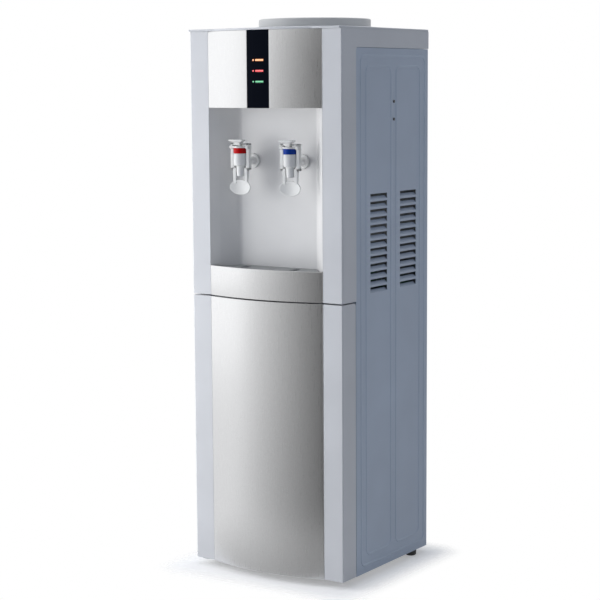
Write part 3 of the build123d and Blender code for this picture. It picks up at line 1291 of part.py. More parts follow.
def thermoelectric_module():
    """Cold block shaped to the tank, and the thin module behind it."""
    cold_block = module_window(0.0) - post(0, AXIS_Y, COLD_Z - 1, COLD_TOP_Z + 1, COLD_RADIUS + FIT / 2)
    half = MODULE_SIZE / 2
    wafer = block(-half, half, MODULE_FRONT_Y, SINK_FRONT_Y, FAN_Z - half, FAN_Z + half)
    return group([cold_block, wafer])


def heat_sink():
    """Finned block on the warm face of the module."""
    half = FAN_SIZE / 2
    base_y = SINK_FRONT_Y + SINK_BASE
    sink = block(-half, half, SINK_FRONT_Y, base_y, FAN_Z - half, FAN_Z + half)
    pitch = (FAN_SIZE - 2 * SHEET) / (SINK_FINS - 1)
    fins = [
        block(x - SHEET, x + SHEET, base_y - 0.5, FAN_FRONT_Y, FAN_Z - half, FAN_Z + half)
        for x in [-half + SHEET + pitch * fin for fin in range(SINK_FINS)]
    ]
    return sink + fins


def fan_frame():
    """Square frame with a round duct, three spokes and the rotor's spindle."""
    half = FAN_SIZE / 2
    frame = block(-half, half, FAN_FRONT_Y, FAN_BACK_Y, FAN_Z - half, FAN_Z + half)
    frame -= rod_y(0, FAN_FRONT_Y - 1, FAN_BACK_Y + 1, FAN_Z, FAN_RADIUS + FAN_CLEARANCE)
    spoke_y = FAN_BACK_Y - SPOKE_THICKNESS
    frame += rod_y(0, spoke_y, FAN_BACK_Y, FAN_Z, HUB_RADIUS)
    spoke = block(-SPOKE_THICKNESS, SPOKE_THICKNESS, spoke_y, FAN_BACK_Y, 0, FAN_RADIUS + WALL)
    for turn in range(3):
        frame += Pos(0, 0, FAN_Z) * Rot(0, 120 * turn, 0) * spoke
    return frame + rod_y(0, FAN_FRONT_Y + WALL, spoke_y, FAN_Z, STEM_RADIUS)


def fan_rotor():
    """Hub and twisted blades on the spindle."""
    y0 = FAN_FRONT_Y + 2 * RUN
    y1 = FAN_BACK_Y - SPOKE_THICKNESS - RUN
    rotor = rod_y(0, y0, y1, FAN_Z, HUB_RADIUS)
    span = FAN_RADIUS - HUB_RADIUS + SPOKE_THICKNESS
    middle = Pos(0, (y0 + y1) / 2, (HUB_RADIUS + FAN_RADIUS) / 2)
    blade = middle * Rot(0, 0, BLADE_PITCH) * Box(BLADE_THICKNESS, y1 - y0 - BLADE_THICKNESS, span)
    ring = rod_y(0, y0, y1, 0, FAN_RADIUS)
    for turn in range(FAN_BLADES):
        rotor += Pos(0, 0, FAN_Z) * (Rot(0, 360 / FAN_BLADES * turn, 0) * blade & ring)
    return rotor - rod_y(0, FAN_FRONT_Y + WALL - RUN, y1 + 1, FAN_Z, STEM_RADIUS + PIVOT_CLEARANCE)


def hot_tank():
    """Closed steel tank on three legs, with an inlet, a hot outlet and a drain."""
    tank = post(0, AXIS_Y, HOT_Z, HOT_TOP_Z, HOT_RADIUS)
    out_x, out_y = hot_outlet()
    tank += post(0, AXIS_Y, HOT_TOP_Z, HOT_TOP_Z + NIPPLE_LENGTH, NIPPLE_RADIUS)
    tank += post(out_x, out_y, HOT_TOP_Z, HOT_TOP_Z + NIPPLE_LENGTH, NIPPLE_RADIUS)
    drain_end = AXIS_Y + HOT_RADIUS + NIPPLE_LENGTH
    tank += rod_y(0, AXIS_Y + HOT_RADIUS - 2, drain_end, DRAIN_Z, NIPPLE_RADIUS)
    leg_radius = HOT_RADIUS - NIPPLE_RADIUS
    for turn in (30, 150, 270):
        x = leg_radius * math.cos(math.radians(turn))
        y = AXIS_Y + leg_radius * math.sin(math.radians(turn))
        tank += post(x, y, DECK_TOP_Z, HOT_Z + SHEET, NIPPLE_RADIUS - SHEET)
    tank -= post(0, AXIS_Y, HOT_Z + SHEET, HOT_TOP_Z - SHEET, HOT_RADIUS - SHEET)
    bore = NIPPLE_RADIUS - SHEET
    tank -= post(0, AXIS_Y, HOT_TOP_Z - 2 * SHEET, HOT_TOP_Z + NIPPLE_LENGTH + 1, bore)
    tank -= post(out_x, out_y, HOT_TOP_Z - 2 * SHEET, HOT_TOP_Z + NIPPLE_LENGTH + 1, bore)
    return tank - rod_y(0, AXIS_Y + HOT_RADIUS - 3 * SHEET, drain_end + 1, DRAIN_Z, bore)


def hot_outlet():
    """Where the hot outlet leaves the hot tank's top."""
    return -HOT_OUTLET_OFFSET, AXIS_Y - HOT_OUTLET_OFFSET


def heater_and_thermostats():
    """Band heater round the hot tank, and two thermostats on its front."""
    z0 = HOT_Z + HEATER_RISE
    inner = HOT_RADIUS + FIT / 2
    outer = inner + HEATER_WALL
    z1 = z0 + HEATER_HEIGHT
    band = turned([(inner, z0), (outer, z0), (outer, z1), (inner, z1)], 0, AXIS_Y)
    band -= block(-WALL, WALL, AXIS_Y - 2 * HOT_RADIUS, AXIS_Y, z0 - 1, z1 + 1)
    z = z1 + SENSOR_RISE
    front = AXIS_Y - HOT_RADIUS - FIT / 2
    sensors = []
    for x in (-SENSOR_X, SENSOR_X):
        sensor = rod_y(x, front - SENSOR_DEPTH, AXIS_Y, z, SENSOR_RADIUS)
        sensors.append(sensor - post(0, AXIS_Y, HOT_Z, HOT_TOP_Z, HOT_RADIUS + FIT / 2))
    return group([band] + sensors)


def hose(points, radii):
    """A tube along straight runs joined by arcs."""
    path = FilletPolyline(points, radius=radii)
    start = Plane(origin=path @ 0, z_dir=path % 0)
    outer = sweep(start * Circle(TUBE_RADIUS), path=path)
    return outer - sweep(start * Circle(NIPPLE_RADIUS + TUBE_FIT), path=path)


def water_tubes():
    """Cold outlet, tank link, hot outlet and drain tubes."""
    bore = NIPPLE_RADIUS + TUBE_FIT
    cold = tube_y(TAP_X, SHANK_END_Y + FIT, cold_tube_end(), SHANK_Z, TUBE_RADIUS, bore)
    link = post(0, AXIS_Y, HOT_TOP_Z + FIT, COLD_Z - FIT, TUBE_RADIUS)
    link -= post(0, AXIS_Y, HOT_TOP_Z, COLD_Z, bore)
    drain = tube_y(0, AXIS_Y + HOT_RADIUS + FIT, drain_flange_y() - FIT, DRAIN_Z, TUBE_RADIUS, bore)
    out_x, out_y = hot_outlet()
    rise_z = (HOT_TOP_Z + INSULATION_Z) / 2
    clear = INSULATION_RADIUS + TUBE_RADIUS + HOSE_GAP
    back_y = AXIS_Y - math.sqrt(clear**2 - TAP_X**2)
    hot = hose(
        [
            (out_x, out_y, HOT_TOP_Z + FIT),
            (out_x, out_y, rise_z),
            (-TAP_X, back_y, rise_z + TUBE_RADIUS),
            (-TAP_X, back_y, SHANK_Z),
            (-TAP_X, SHANK_END_Y + FIT, SHANK_Z),
        ],
        [HOSE_BEND, HOSE_SWEEP, HOSE_BEND],
    )
    return group([cold, link, drain, hot])


def cold_tube_end():
    """Where the cold tube stops, just short of the cold tank's wall."""
    return AXIS_Y - math.sqrt(COLD_RADIUS**2 - (TAP_X - TUBE_RADIUS) ** 2) - 4 * FIT


# Electrical and rear fittings


def power_board():
    """Supply board on four posts, with its transformer and two capacitors."""
    margin = 2 * WALL
    x0 = HOT_RADIUS + HEATER_WALL + 2 * margin
    x1 = INNER_X - 2 * margin
    y0 = AXIS_Y - margin
    y1 = RAIL_Y - 4 * margin
    z0 = DECK_TOP_Z + SUPPLY_POST
    top = z0 + BOARD_THICKNESS
    board = block(x0, x1, y0, y1, z0, top)
    for x in (x0 + margin, x1 - margin):
        for y in (y0 + margin, y1 - margin):
            board += post(x, y, DECK_TOP_Z, z0, BOSS_RADIUS)
    core_x = x0 + 2 * margin
    core_y = y0 + 2 * margin
    core_top = top + TRANSFORMER_HEIGHT
    board += block(core_x, core_x + TRANSFORMER, core_y, core_y + TRANSFORMER, top, core_top)
    can_x = core_x + TRANSFORMER + 2 * CAPACITOR_RADIUS
    for y in (core_y + CAPACITOR_RADIUS, core_y + 4 * CAPACITOR_RADIUS):
        board += post(can_x, y, top, top + CAPACITOR_HEIGHT, CAPACITOR_RADIUS)
    return board


def switch_places():
    """The two switches, side by side."""
    return [SWITCH_X - SWITCH_PITCH, SWITCH_X]


def switch_housings():
    """Two snap-in switch bodies with bezels and pivot holes."""
    housings = []
    front = BACK_FACE_Y + SWITCH_BEZEL
    depth = front - BACK_PANEL_Y + SWITCH_DEPTH
    well_half = ROCKER_WIDTH / 2 + RUN / 2
    well_z = ROCKER_LENGTH / 2 + 2 * RUN
    pivot_half = well_half + ROCKER_PIVOT_LENGTH
    for x in switch_places():
        body = Pos(x, front - depth / 2, SWITCH_Z) * Box(SWITCH_WIDTH, depth, SWITCH_LENGTH)
        bezel = Box(SWITCH_WIDTH + 2 * SWITCH_RIM, SWITCH_BEZEL, SWITCH_LENGTH + 2 * SWITCH_RIM)
        body += Pos(x, ROCKER_Y, SWITCH_Z) * bezel
        bottom = ROCKER_Y - ROCKER_DEPTH
        body -= block(x - well_half, x + well_half, bottom, front + 1, SWITCH_Z - well_z, SWITCH_Z + well_z)
        pivot = ROCKER_PIVOT + PIVOT_CLEARANCE
        housings.append(body - rod_x(x - pivot_half, x + pivot_half, ROCKER_Y, SWITCH_Z, pivot))
    return group(housings)


def rocker(x):
    """Tilted rocker on two short pivots."""
    half = ROCKER_WIDTH / 2 + ROCKER_PIVOT_LENGTH
    key = Box(ROCKER_WIDTH, ROCKER_DEPTH, ROCKER_LENGTH) + rod_x(-half, half, 0, 0, ROCKER_PIVOT)
    return Pos(x, ROCKER_Y, SWITCH_Z) * Rot(ROCKER_TILT, 0, 0) * key


def drain_flange_y():
    """Front of the drain fitting's inner flange."""
    return BACK_PANEL_Y - WALL


def drain_outlet():
    """Fitting through the back panel, with a hose tail inside."""
    flange_y = drain_flange_y()
    outlet = rod_y(0, flange_y, BACK_PANEL_Y, DRAIN_Z, DRAIN_RADIUS + 2 * WALL)
    outlet += rod_y(0, flange_y, BACK_FACE_Y + DRAIN_REACH, DRAIN_Z, DRAIN_RADIUS)
    outlet += rod_y(0, flange_y - BARB_LENGTH, flange_y, DRAIN_Z, NIPPLE_RADIUS)
    return outlet - rod_y(0, flange_y - BARB_LENGTH - 1, BACK_Y, DRAIN_Z, NIPPLE_RADIUS - SHEET)


def drain_cap():
    """Screw cap over the drain."""
    y0 = BACK_FACE_Y + FIT
    cap = rod_y(0, y0, y0 + CAP_LENGTH, DRAIN_Z, CAP_RADIUS)
    notches = []
    for turn in range(CAP_NOTCHES):
        angle = math.radians(360 / CAP_NOTCHES * turn)
        x = CAP_RADIUS * math.cos(angle)
        z = DRAIN_Z + CAP_RADIUS * math.sin(angle)
        notches.append(rod_y(x, y0 + WALL, y0 + CAP_LENGTH + 1, z, CAP_NOTCH_RADIUS))
    cap -= notches
    return cap - rod_y(0, y0 - 1, BACK_FACE_Y + DRAIN_REACH + FIT, DRAIN_Z, DRAIN_RADIUS + FIT)


def cord_gland():
    """Bush in the back panel where a cord would pass."""
    gland = rod_y(GLAND_X, BACK_PANEL_Y - GLAND_DEPTH, BACK_FACE_Y, GLAND_Z, GLAND_RADIUS)
    gland += rod_y(GLAND_X, BACK_FACE_Y, BACK_FACE_Y + WALL, GLAND_Z, GLAND_RADIUS + 2 * SHEET)
    bore_start = BACK_PANEL_Y - GLAND_DEPTH - 1
    return gland - rod_y(GLAND_X, bore_start, BACK_FACE_Y + 2 * WALL, GLAND_Z, CORD_BORE)


# Every piece by name

PIECES = {
    "base_plate": base_plate(),
    "feet": feet(),
    "right_side_panel": side_panel(),
    "back_panel": back_panel(),
    "panel_screws": panel_screws(),
    "equipment_deck": equipment_deck(),
    "cabinet_liner": cabinet_liner(),
    "cabinet_shelf": cabinet_shelf(),
    "front_hood": front_hood(),
    "top_cover": top_cover(),
    "upper_fascia": upper_fascia(),
    "display_window": display_window(),
    "indicator_board": indicator_board(),
    "alcove_liner": alcove_liner(),
    "drip_tray": drip_tray(),
    "tray_fascia": tray_fascia(),
    "drip_grille": drip_grille(),
    "bottle_guard": bottle_guard(),
    "feed_spike": feed_spike(),
    "guard_seal": guard_seal(),
    "door_frame": door_frame(),
    "door_skin": door_skin(),
    "door_liner": door_liner(),
    "catch_strike": catch_strike(),
    "magnet_catch": magnet_catch(),
    "upper_hinge_pin": upper_hinge_pin(),
    "lower_hinge_bracket": lower_hinge_bracket(),
    "hinge_bushes": hinge_bushes(),
    "tap_gaskets": tap_gaskets(),
    "tap_nuts": tap_nuts(),
    "cold_tank": cold_tank(),
    "cold_tank_lid": cold_tank_lid(),
    "tank_insulation": tank_insulation(),
    "tank_cradle": tank_cradle(),
    "thermoelectric_module": thermoelectric_module(),
    "heat_sink": heat_sink(),
    "fan_frame": fan_frame(),
    "fan_rotor": fan_rotor(),
    "hot_tank": hot_tank(),
    "heater_and_thermostats": heater_and_thermostats(),
    "water_tubes": water_tubes(),
    "power_board": power_board(),
    "switch_housings": switch_housings(),
    "drain_outlet": drain_outlet(),
    "drain_cap": drain_cap(),
    "cord_gland": cord_gland(),
}
PIECES["left_side_panel"] = mirror(PIECES["right_side_panel"], about=Plane.YZ)
for name, height in zip(("power_lens", "heat_lens", "cool_lens"), lens_heights()):
    PIECES[name] = group(lens(height, 0.0))
for name, x in (("hot", -TAP_X), ("cold", TAP_X)):
    PIECES[name + "_tap_body"] = tap_body(x)
    PIECES[name + "_tap_ring"] = tap_ring(x)
    PIECES[name + "_tap_lever"] = tap_lever(x)
    PIECES[name + "_tap_plunger"] = tap_plunger(x)
for name, x in zip(("heat_rocker", "cool_rocker"), switch_places()):
    PIECES[name] = rocker(x)

os.makedirs("parts", exist_ok=True)
for name, piece in PIECES.items():
    export_step(piece, "parts/" + name + ".step")
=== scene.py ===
import math

import bmesh
import bpy
import numpy as np
from mathutils import Matrix, Vector


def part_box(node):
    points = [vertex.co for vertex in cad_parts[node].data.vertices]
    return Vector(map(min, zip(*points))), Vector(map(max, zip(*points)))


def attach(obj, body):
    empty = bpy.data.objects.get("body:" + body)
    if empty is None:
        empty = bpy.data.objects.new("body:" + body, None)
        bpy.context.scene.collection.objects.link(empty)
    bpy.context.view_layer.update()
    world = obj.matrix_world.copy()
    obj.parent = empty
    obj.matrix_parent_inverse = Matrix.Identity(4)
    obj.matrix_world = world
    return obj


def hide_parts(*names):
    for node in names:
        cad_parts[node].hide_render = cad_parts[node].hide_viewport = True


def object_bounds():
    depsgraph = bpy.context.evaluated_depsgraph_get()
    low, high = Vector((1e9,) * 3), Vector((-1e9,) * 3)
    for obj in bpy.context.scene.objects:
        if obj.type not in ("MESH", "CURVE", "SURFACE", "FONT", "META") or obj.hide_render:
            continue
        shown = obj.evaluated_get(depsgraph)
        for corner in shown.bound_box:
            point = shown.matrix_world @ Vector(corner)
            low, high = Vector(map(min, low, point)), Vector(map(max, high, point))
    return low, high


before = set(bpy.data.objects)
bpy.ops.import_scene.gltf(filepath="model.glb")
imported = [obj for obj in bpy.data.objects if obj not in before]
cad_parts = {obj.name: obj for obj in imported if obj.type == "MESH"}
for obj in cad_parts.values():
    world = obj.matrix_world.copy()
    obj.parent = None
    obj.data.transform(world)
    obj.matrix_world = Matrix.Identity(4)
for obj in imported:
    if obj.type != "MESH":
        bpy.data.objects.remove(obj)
cad_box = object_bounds()

# Base plate, equipment deck and hinge bracket: folded from galvanised steel sheet, the bracket with a pin
# for the door's bottom bush. The zinc has a faint spangle, and its shine is uneven.
ZINC_DULL = (0.43, 0.44, 0.45)
ZINC_BRIGHT = (0.49, 0.5, 0.51)
SPANGLE = 0.005
SHEET_GLOSS_SPREAD = 0.06
SHEET_RELIEF = 0.000004
PATTERN_LOW = 0.3
PATTERN_HIGH = 0.7
UNSTRETCHED = (1, 1, 1)


def finish(name, **constants):
    """A new material, with these constants set on its shader's own sockets."""
    material = bpy.data.materials.new(name)
    material.use_nodes = True
    shader = material.node_tree.nodes["Principled BSDF"]
    for socket, value in constants.items():
        shader.inputs[socket.replace("_", " ")].default_value = value
    return material, shader


def pattern(shader, kind, size, stretch=UNSTRETCHED):
    """Noise or Voronoi cells of about size metres on Object coordinates, drawn out by stretch."""
    tree = shader.id_data
    place = tree.nodes.new("ShaderNodeTexCoord")
    mapping = tree.nodes.new("ShaderNodeMapping")
    mapping.inputs["Scale"].default_value = [1 / (size * axis) for axis in stretch]
    texture = tree.nodes.new("ShaderNodeTex" + kind)
    texture.inputs["Scale"].default_value = 1
    tree.links.new(place.outputs["Object"], mapping.inputs["Vector"])
    tree.links.new(mapping.outputs["Vector"], texture.inputs["Vector"])
    return texture.outputs["Fac" if kind == "Noise" else "Color"]


def vary(shader, socket, factor, low, high):
    """A socket that follows a pattern, from low to high."""
    tree = shader.id_data
    scale = tree.nodes.new("ShaderNodeMapRange")
    scale.inputs["From Min"].default_value = PATTERN_LOW
    scale.inputs["From Max"].default_value = PATTERN_HIGH
    scale.inputs["To Min"].default_value = low
    scale.inputs["To Max"].default_value = high
    tree.links.new(factor, scale.inputs["Value"])
    tree.links.new(scale.outputs["Result"], shader.inputs[socket])


def shade(shader, factor, dark, light):
    """Base colour that goes from dark to light with a pattern."""
    tree = shader.id_data
    ramp = tree.nodes.new("ShaderNodeValToRGB")
    stops = ramp.color_ramp.elements
    stops[0].position = PATTERN_LOW
    stops[0].color = (*dark, 1)
    stops[1].position = PATTERN_HIGH
    stops[1].color = (*light, 1)
    tree.links.new(factor, ramp.inputs["Fac"])
    tree.links.new(ramp.outputs["Color"], shader.inputs["Base Color"])


def relief(shader, factor, height):
    """Relief that rises by height metres with a pattern."""
    tree = shader.id_data
    bump = tree.nodes.new("ShaderNodeBump")
    bump.inputs["Distance"].default_value = height
    tree.links.new(factor, bump.inputs["Height"])
    tree.links.new(bump.outputs["Normal"], shader.inputs["Normal"])


def sheet_metal(name, dull, bright, cell, roughness, stretch=UNSTRETCHED):
    """Bare sheet: flakes or drawn-out grain of two tones, rougher where it is dull."""
    material, shader = finish(name, Metallic=1.0)
    kind = "Voronoi" if stretch == UNSTRETCHED else "Noise"
    grain = pattern(shader, kind, cell, stretch)
    shade(shader, grain, dull, bright)
    vary(shader, "Roughness", grain, roughness + SHEET_GLOSS_SPREAD, roughness - SHEET_GLOSS_SPREAD)
    relief(shader, grain, SHEET_RELIEF)
    return material


def dress(material, *nodes):
    """Gives CAD pieces whose shape is right a finish in their own slot."""
    for node in nodes:
        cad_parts[node].material_slots[0].material = material


zinc_sheet = sheet_metal("galvanised_zinc", ZINC_DULL, ZINC_BRIGHT, cell=SPANGLE, roughness=0.42)
dress(zinc_sheet, "base_plate", "equipment_deck", "lower_hinge_bracket")


# Feet: four tapered pads of matt black rubber, each with a spigot pushed through the base plate. The mould
# leaves a faint grain.
RUBBER = (0.018, 0.018, 0.019)
TONE_DRIFT = 0.04
DRIFT_SIZE = 0.12
GLOSS_SPREAD = 0.05


def moulded(name, colour, roughness, grain, height, **constants):
    """Moulded piece: tone that drifts a little over a hand's width, and the grain of an eroded tool."""
    material, shader = finish(name, **constants)
    tone = np.array(colour)
    drift = pattern(shader, "Noise", DRIFT_SIZE)
    shade(shader, drift, (1 - TONE_DRIFT) * tone, (1 + TONE_DRIFT) * tone)
    grainy = pattern(shader, "Noise", grain)
    vary(shader, "Roughness", grainy, roughness - GLOSS_SPREAD, roughness + GLOSS_SPREAD)
    relief(shader, grainy, height)
    return material


rubber = moulded("black_rubber", RUBBER, roughness=0.62, grain=0.0012, height=0.00001)
dress(rubber, "feet")


# Side panels: stamped from thin steel sheet, with raised beads round two long fields and louvers in each,
# then powder coated in a cool pale grey with a slight orange peel.
SIDE_GREY = (0.515, 0.59, 0.7)
PEEL_SIZE = 0.0026
PEEL_HEIGHT = 0.000012
SHEET_ROUNDING = 0.0003
STRIP_WIDTH = 0.0025
MERGE = 0.000002
FLAT_ANGLE = math.radians(0.4)
BEVEL_ANGLE = math.radians(35)
LEVEL = 0.9


def put(name, data, material, body, nodes):
    """Makes the object of a finished mesh, which rides on a body and stands for CAD nodes."""
    data.materials.append(material)
    made = bpy.data.objects.new(name, data)
    bpy.context.scene.collection.objects.link(made)
    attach(made, body)
    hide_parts(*nodes)


def softened(node, body, material, rounding):
    """A CAD piece with flat faces joined and edges rounded. Strips are shaded smooth: a strip's width is
    about twice its area over its perimeter. Level plates are cut into triangles first, because their notches
    fold a many-sided face over, and the points are kept in the CAD piece's box."""
    edit = bmesh.new()
    edit.from_mesh(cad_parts[node].data)
    bmesh.ops.remove_doubles(edit, verts=edit.verts, dist=MERGE)
    bmesh.ops.dissolve_limit(edit, angle_limit=FLAT_ANGLE, verts=edit.verts, edges=edit.edges)
    for face in edit.faces:
        face.smooth = 2 * face.calc_area() < STRIP_WIDTH * face.calc_perimeter()
    plates = [face for face in edit.faces if len(face.verts) > 4 and abs(face.normal.z) > LEVEL]
    bmesh.ops.triangulate(edit, faces=plates)
    sharp = [edge for edge in edit.edges if edge.is_manifold and edge.calc_face_angle() > BEVEL_ANGLE]
    bmesh.ops.bevel(
        edit, geom=sharp, offset=rounding, offset_type="OFFSET", segments=2, profile=0.5, affect="EDGES",
        clamp_overlap=False, loop_slide=False, material=-1,
    )
    data = bpy.data.meshes.new(node + "_softened")
    edit.to_mesh(data)
    edit.free()
    points = np.empty(3 * len(data.vertices))
    data.vertices.foreach_get("co", points)
    low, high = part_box(node)
    data.vertices.foreach_set("co", np.clip(points.reshape(-1, 3), low, high).ravel())
    put(node + "_softened", data, material, body, [node])


powder_coat = moulded("powder_coated_sheet", SIDE_GREY, roughness=0.46, grain=PEEL_SIZE, height=PEEL_HEIGHT)
for side in ("left", "right"):
    softened(side + "_side_panel", "cabinet", powder_coat, SHEET_ROUNDING)


# Back panel and screws: a recessed galvanised sheet with stamped vents, held like the side panels by small
# blackened screws.
SCREW_BLACK = (0.06, 0.062, 0.07)
blackened_steel = moulded(
    "blackened_steel", SCREW_BLACK, roughness=0.35, grain=0.0006, height=0.000004, Metallic=0.8
)
dress(zinc_sheet, "back_panel")
dress(blackened_steel, "panel_screws")


# Cupboard liner, its shelf and the door's inner pan: vacuum-formed from white sheet plastic, which
# takes only soft detail from its mould and stays matt.
CUPBOARD_WHITE = (0.7, 0.71, 0.71)
formed_white = moulded("formed_white", CUPBOARD_WHITE, roughness=0.5, grain=0.003, height=0.00002)
dress(formed_white, "cabinet_liner", "cabinet_shelf", "door_liner")


# Hood: one white moulding of two pillars, their side returns, the band under the cover and the web above the
# door. Fine grain keeps its gloss low, and its edges are rounded.
WHITE = (0.7, 0.71, 0.735)
HOOD_ROUNDING = 0.0006
white_moulding = moulded("white_moulding_grain", WHITE, roughness=0.36, grain=0.0008, height=0.000006)
softened("front_hood", "cabinet", white_moulding, HOOD_ROUNDING)


# Top cover: a white moulding that closes the body. Its front edge follows the bow of the fascia, and a low
# dome rises round the hole for the bottle seat.
PANEL_HALF = 0.1165
PANEL_SETBACK = 0.005
CORNER_RADIUS = 0.002
DOME_FOOT_RADIUS = 0.130
DOME_TOP_RADIUS = 0.110
COVER_HOLE_RADIUS = 0.0955
COVER_EDGE = 0.0035
COVER_WALL = 0.0025
COVER_SPACING = 0.005
SECTION_RIM = 0.2
BROKEN_EDGE = 0.0002
CRISP_EDGE = 0.0003
EASED_EDGE = 0.001
DOME_TOP_ROUND = 0.012
DOME_FOOT_ROUND = 0.003
DOME_UNDER_ROUND = 0.005
BOW_POINTS = 41
ROUND_STEPS = 5
SHARP_ANGLE = math.radians(32)


def rounded_path(corners, radius=None):
    """A closed line whose corners are arcs: a corner is its place and radius, or one radius serves all. An
    arc's centre stands on the bisector, radius over the sine of half the corner's angle away, and the arc
    sweeps through pi less that angle."""
    corners = np.asarray(corners, float)
    radii = corners[:, 2:] if radius is None else np.full((len(corners), 1), radius)
    corners = corners[:, :2]
    before = np.roll(corners, 1, 0) - corners
    after = np.roll(corners, -1, 0) - corners
    before /= np.linalg.norm(before, axis=1, keepdims=True)
    after /= np.linalg.norm(after, axis=1, keepdims=True)
    half = np.arccos(np.clip((before * after).sum(1, keepdims=True), -1, 1)) / 2
    bisector = before + after
    bisector /= np.linalg.norm(bisector, axis=1, keepdims=True)
    centre = corners + bisector * radii / np.sin(half)
    start = corners + before * radii / np.tan(half) - centre
    end = corners + after * radii / np.tan(half) - centre
    sweep = (np.pi - 2 * half)[:, None]
    step = np.linspace(0, 1, ROUND_STEPS + 1)[None, :, None]
    arc = np.sin((1 - step) * sweep) * start[:, None] + np.sin(step * sweep) * end[:, None]
    return (centre[:, None] + arc / np.sin(sweep)).reshape(-1, 2)


def ring_faces(rows, columns, rows_close=False):
    """Quads between neighbouring points of a grid of rings, whose last ring may join the first."""
    here = np.arange(rows if rows_close else rows - 1)[:, None]
    first = np.arange(columns)[None]
    below, above = here * columns, (here + 1) % rows * columns
    after = (first + 1) % columns
    quads = np.stack([below + first, below + after, above + after, above + first], -1)
    return quads.reshape(-1, 4).tolist()


def made_piece(name, body, material, nodes, parts):
    """One object from parts, each its points and faces: doubles are merged and faces turned outwards."""
    counts = [len(points) for points, faces in parts]
    starts = np.cumsum([0] + counts[:-1])
    all_points = np.concatenate([points for points, faces in parts])
    all_faces = []
    for start, (points, faces) in zip(starts, parts):
        all_faces += [[int(corner + start) for corner in face] for face in faces]
    data = bpy.data.meshes.new(name)
    data.from_pydata(all_points, [], all_faces)
    edit = bmesh.new()
    edit.from_mesh(data)
    bmesh.ops.remove_doubles(edit, verts=edit.verts, dist=MERGE)
    bmesh.ops.recalc_face_normals(edit, faces=edit.faces)
    edit.to_mesh(data)
    edit.free()
    data.shade_smooth()
    data.set_sharp_from_angle(angle=SHARP_ANGLE)
    put(name, data, material, body, nodes)


def resampled(outline, spacing):
    """A closed outline's own points, and more between them no further apart than spacing."""
    loop = np.vstack([outline, outline[:1]])
    length = np.concatenate([[0], np.cumsum(np.linalg.norm(np.diff(loop, axis=0), axis=1))])
    places = np.union1d(length, np.arange(0, length[-1], spacing))[:-1]
    return np.stack([np.interp(places, length, loop[:, axis]) for axis in (0, 1)], 1)


cover_low, cover_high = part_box("top_cover")
face_y, nose_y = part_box("front_hood")[0].y, cover_low.y
bow_rise = face_y - nose_y + PANEL_SETBACK
bow_radius = (PANEL_HALF**2 + bow_rise**2) / (2 * bow_rise)
bow_centre_y = nose_y + bow_radius
guard_low, guard_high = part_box("bottle_guard")
axis_y = (guard_low.y + guard_high.y) / 2


def bow_line(x):
    """Plan points on the bow's face: y is its centre less the root of radius squared less x squared."""
    return np.stack([x, bow_centre_y - np.sqrt(bow_radius**2 - x**2)], 1)


def cover_grid():
    """The cover's section carried round the bottle's axis: up to the dome's foot it is turned, and beyond it
    each point keeps its distance from the outline."""
    half, back = cover_high.x, cover_high.y
    corners = rounded_path([(half, back), (-half, back), (-half, face_y), (half, face_y)], CORNER_RADIUS)
    front_half = math.sqrt(bow_radius**2 - (bow_centre_y - face_y) ** 2)
    front = bow_line(np.linspace(-front_half, front_half, BOW_POINTS))
    last = 3 * (ROUND_STEPS + 1)
    outline = resampled(np.concatenate([corners[:last], front, corners[last:]]), COVER_SPACING)
    spokes = outline - (0, axis_y)
    reach = np.linalg.norm(spokes, axis=1)
    spokes /= reach[:, None]
    base, top = cover_low.z, cover_high.z
    level_top, under = base + COVER_EDGE, top - COVER_WALL
    section = rounded_path([
        (COVER_HOLE_RADIUS, under, BROKEN_EDGE),
        (COVER_HOLE_RADIUS, top, EASED_EDGE),
        (DOME_TOP_RADIUS, top, DOME_TOP_ROUND),
        (DOME_FOOT_RADIUS, level_top, DOME_FOOT_ROUND),
        (SECTION_RIM, level_top, EASED_EDGE),
        (SECTION_RIM, base, CRISP_EDGE),
        (DOME_FOOT_RADIUS - COVER_WALL, base, BROKEN_EDGE),
        (DOME_TOP_RADIUS - COVER_WALL, under, DOME_UNDER_ROUND),
    ])
    turned_radius = section[:, :1]
    outside = turned_radius > (SECTION_RIM + DOME_FOOT_RADIUS) / 2
    radius = np.where(outside, reach - SECTION_RIM + turned_radius, turned_radius)
    x, y = radius * spokes[:, 0], axis_y + radius * spokes[:, 1]
    height = np.broadcast_to(section[:, 1:], x.shape)
    points = np.stack([x, y, height], -1).reshape(-1, 3)
    return points, ring_faces(*x.shape, rows_close=True)


made_piece("top_cover_moulding", "cabinet", white_moulding, ["top_cover"], [cover_grid()])


# Upper fascia: a bowed panel with fine rounded edges, sprayed in metallic silver. A strip down the middle is
# set back as the bed of the window, and a shelf closes its foot.
SILVER_DULL = (0.66, 0.665, 0.675)
SILVER_BRIGHT = (0.74, 0.745, 0.755)
SILVER_ROUGHNESS = 0.3
SILVER_SPREAD = 0.03
FLAKE_SIZE = 0.0005
DRAWN_GRAIN = 0.0006
DRAWN_STRETCH = (1, 1, 60)
DRAWN_RELIEF = 0.000002
SKIN = 0.0025
PANEL_EDGE = 0.0004
BOW_STATIONS = 48
WINDOW_HALF = 0.0223
WINDOW_DEPTH = 0.0015
BED_GAP = 0.0003
SHELF_BACK_Y = -0.128


def silver_lacquer():
    """Metallic lacquer: fine flakes in its tone, and a drawn grain up the panel in its gloss."""
    material, shader = finish("silver_lacquer", Metallic=1.0, Coat_Weight=0.15, Coat_Roughness=0.2)
    shade(shader, pattern(shader, "Voronoi", FLAKE_SIZE), SILVER_DULL, SILVER_BRIGHT)
    grain = pattern(shader, "Noise", DRAWN_GRAIN, DRAWN_STRETCH)
    vary(shader, "Roughness", grain, SILVER_ROUGHNESS - SILVER_SPREAD, SILVER_ROUGHNESS + SILVER_SPREAD)
    relief(shader, grain, DRAWN_RELIEF)
    return material


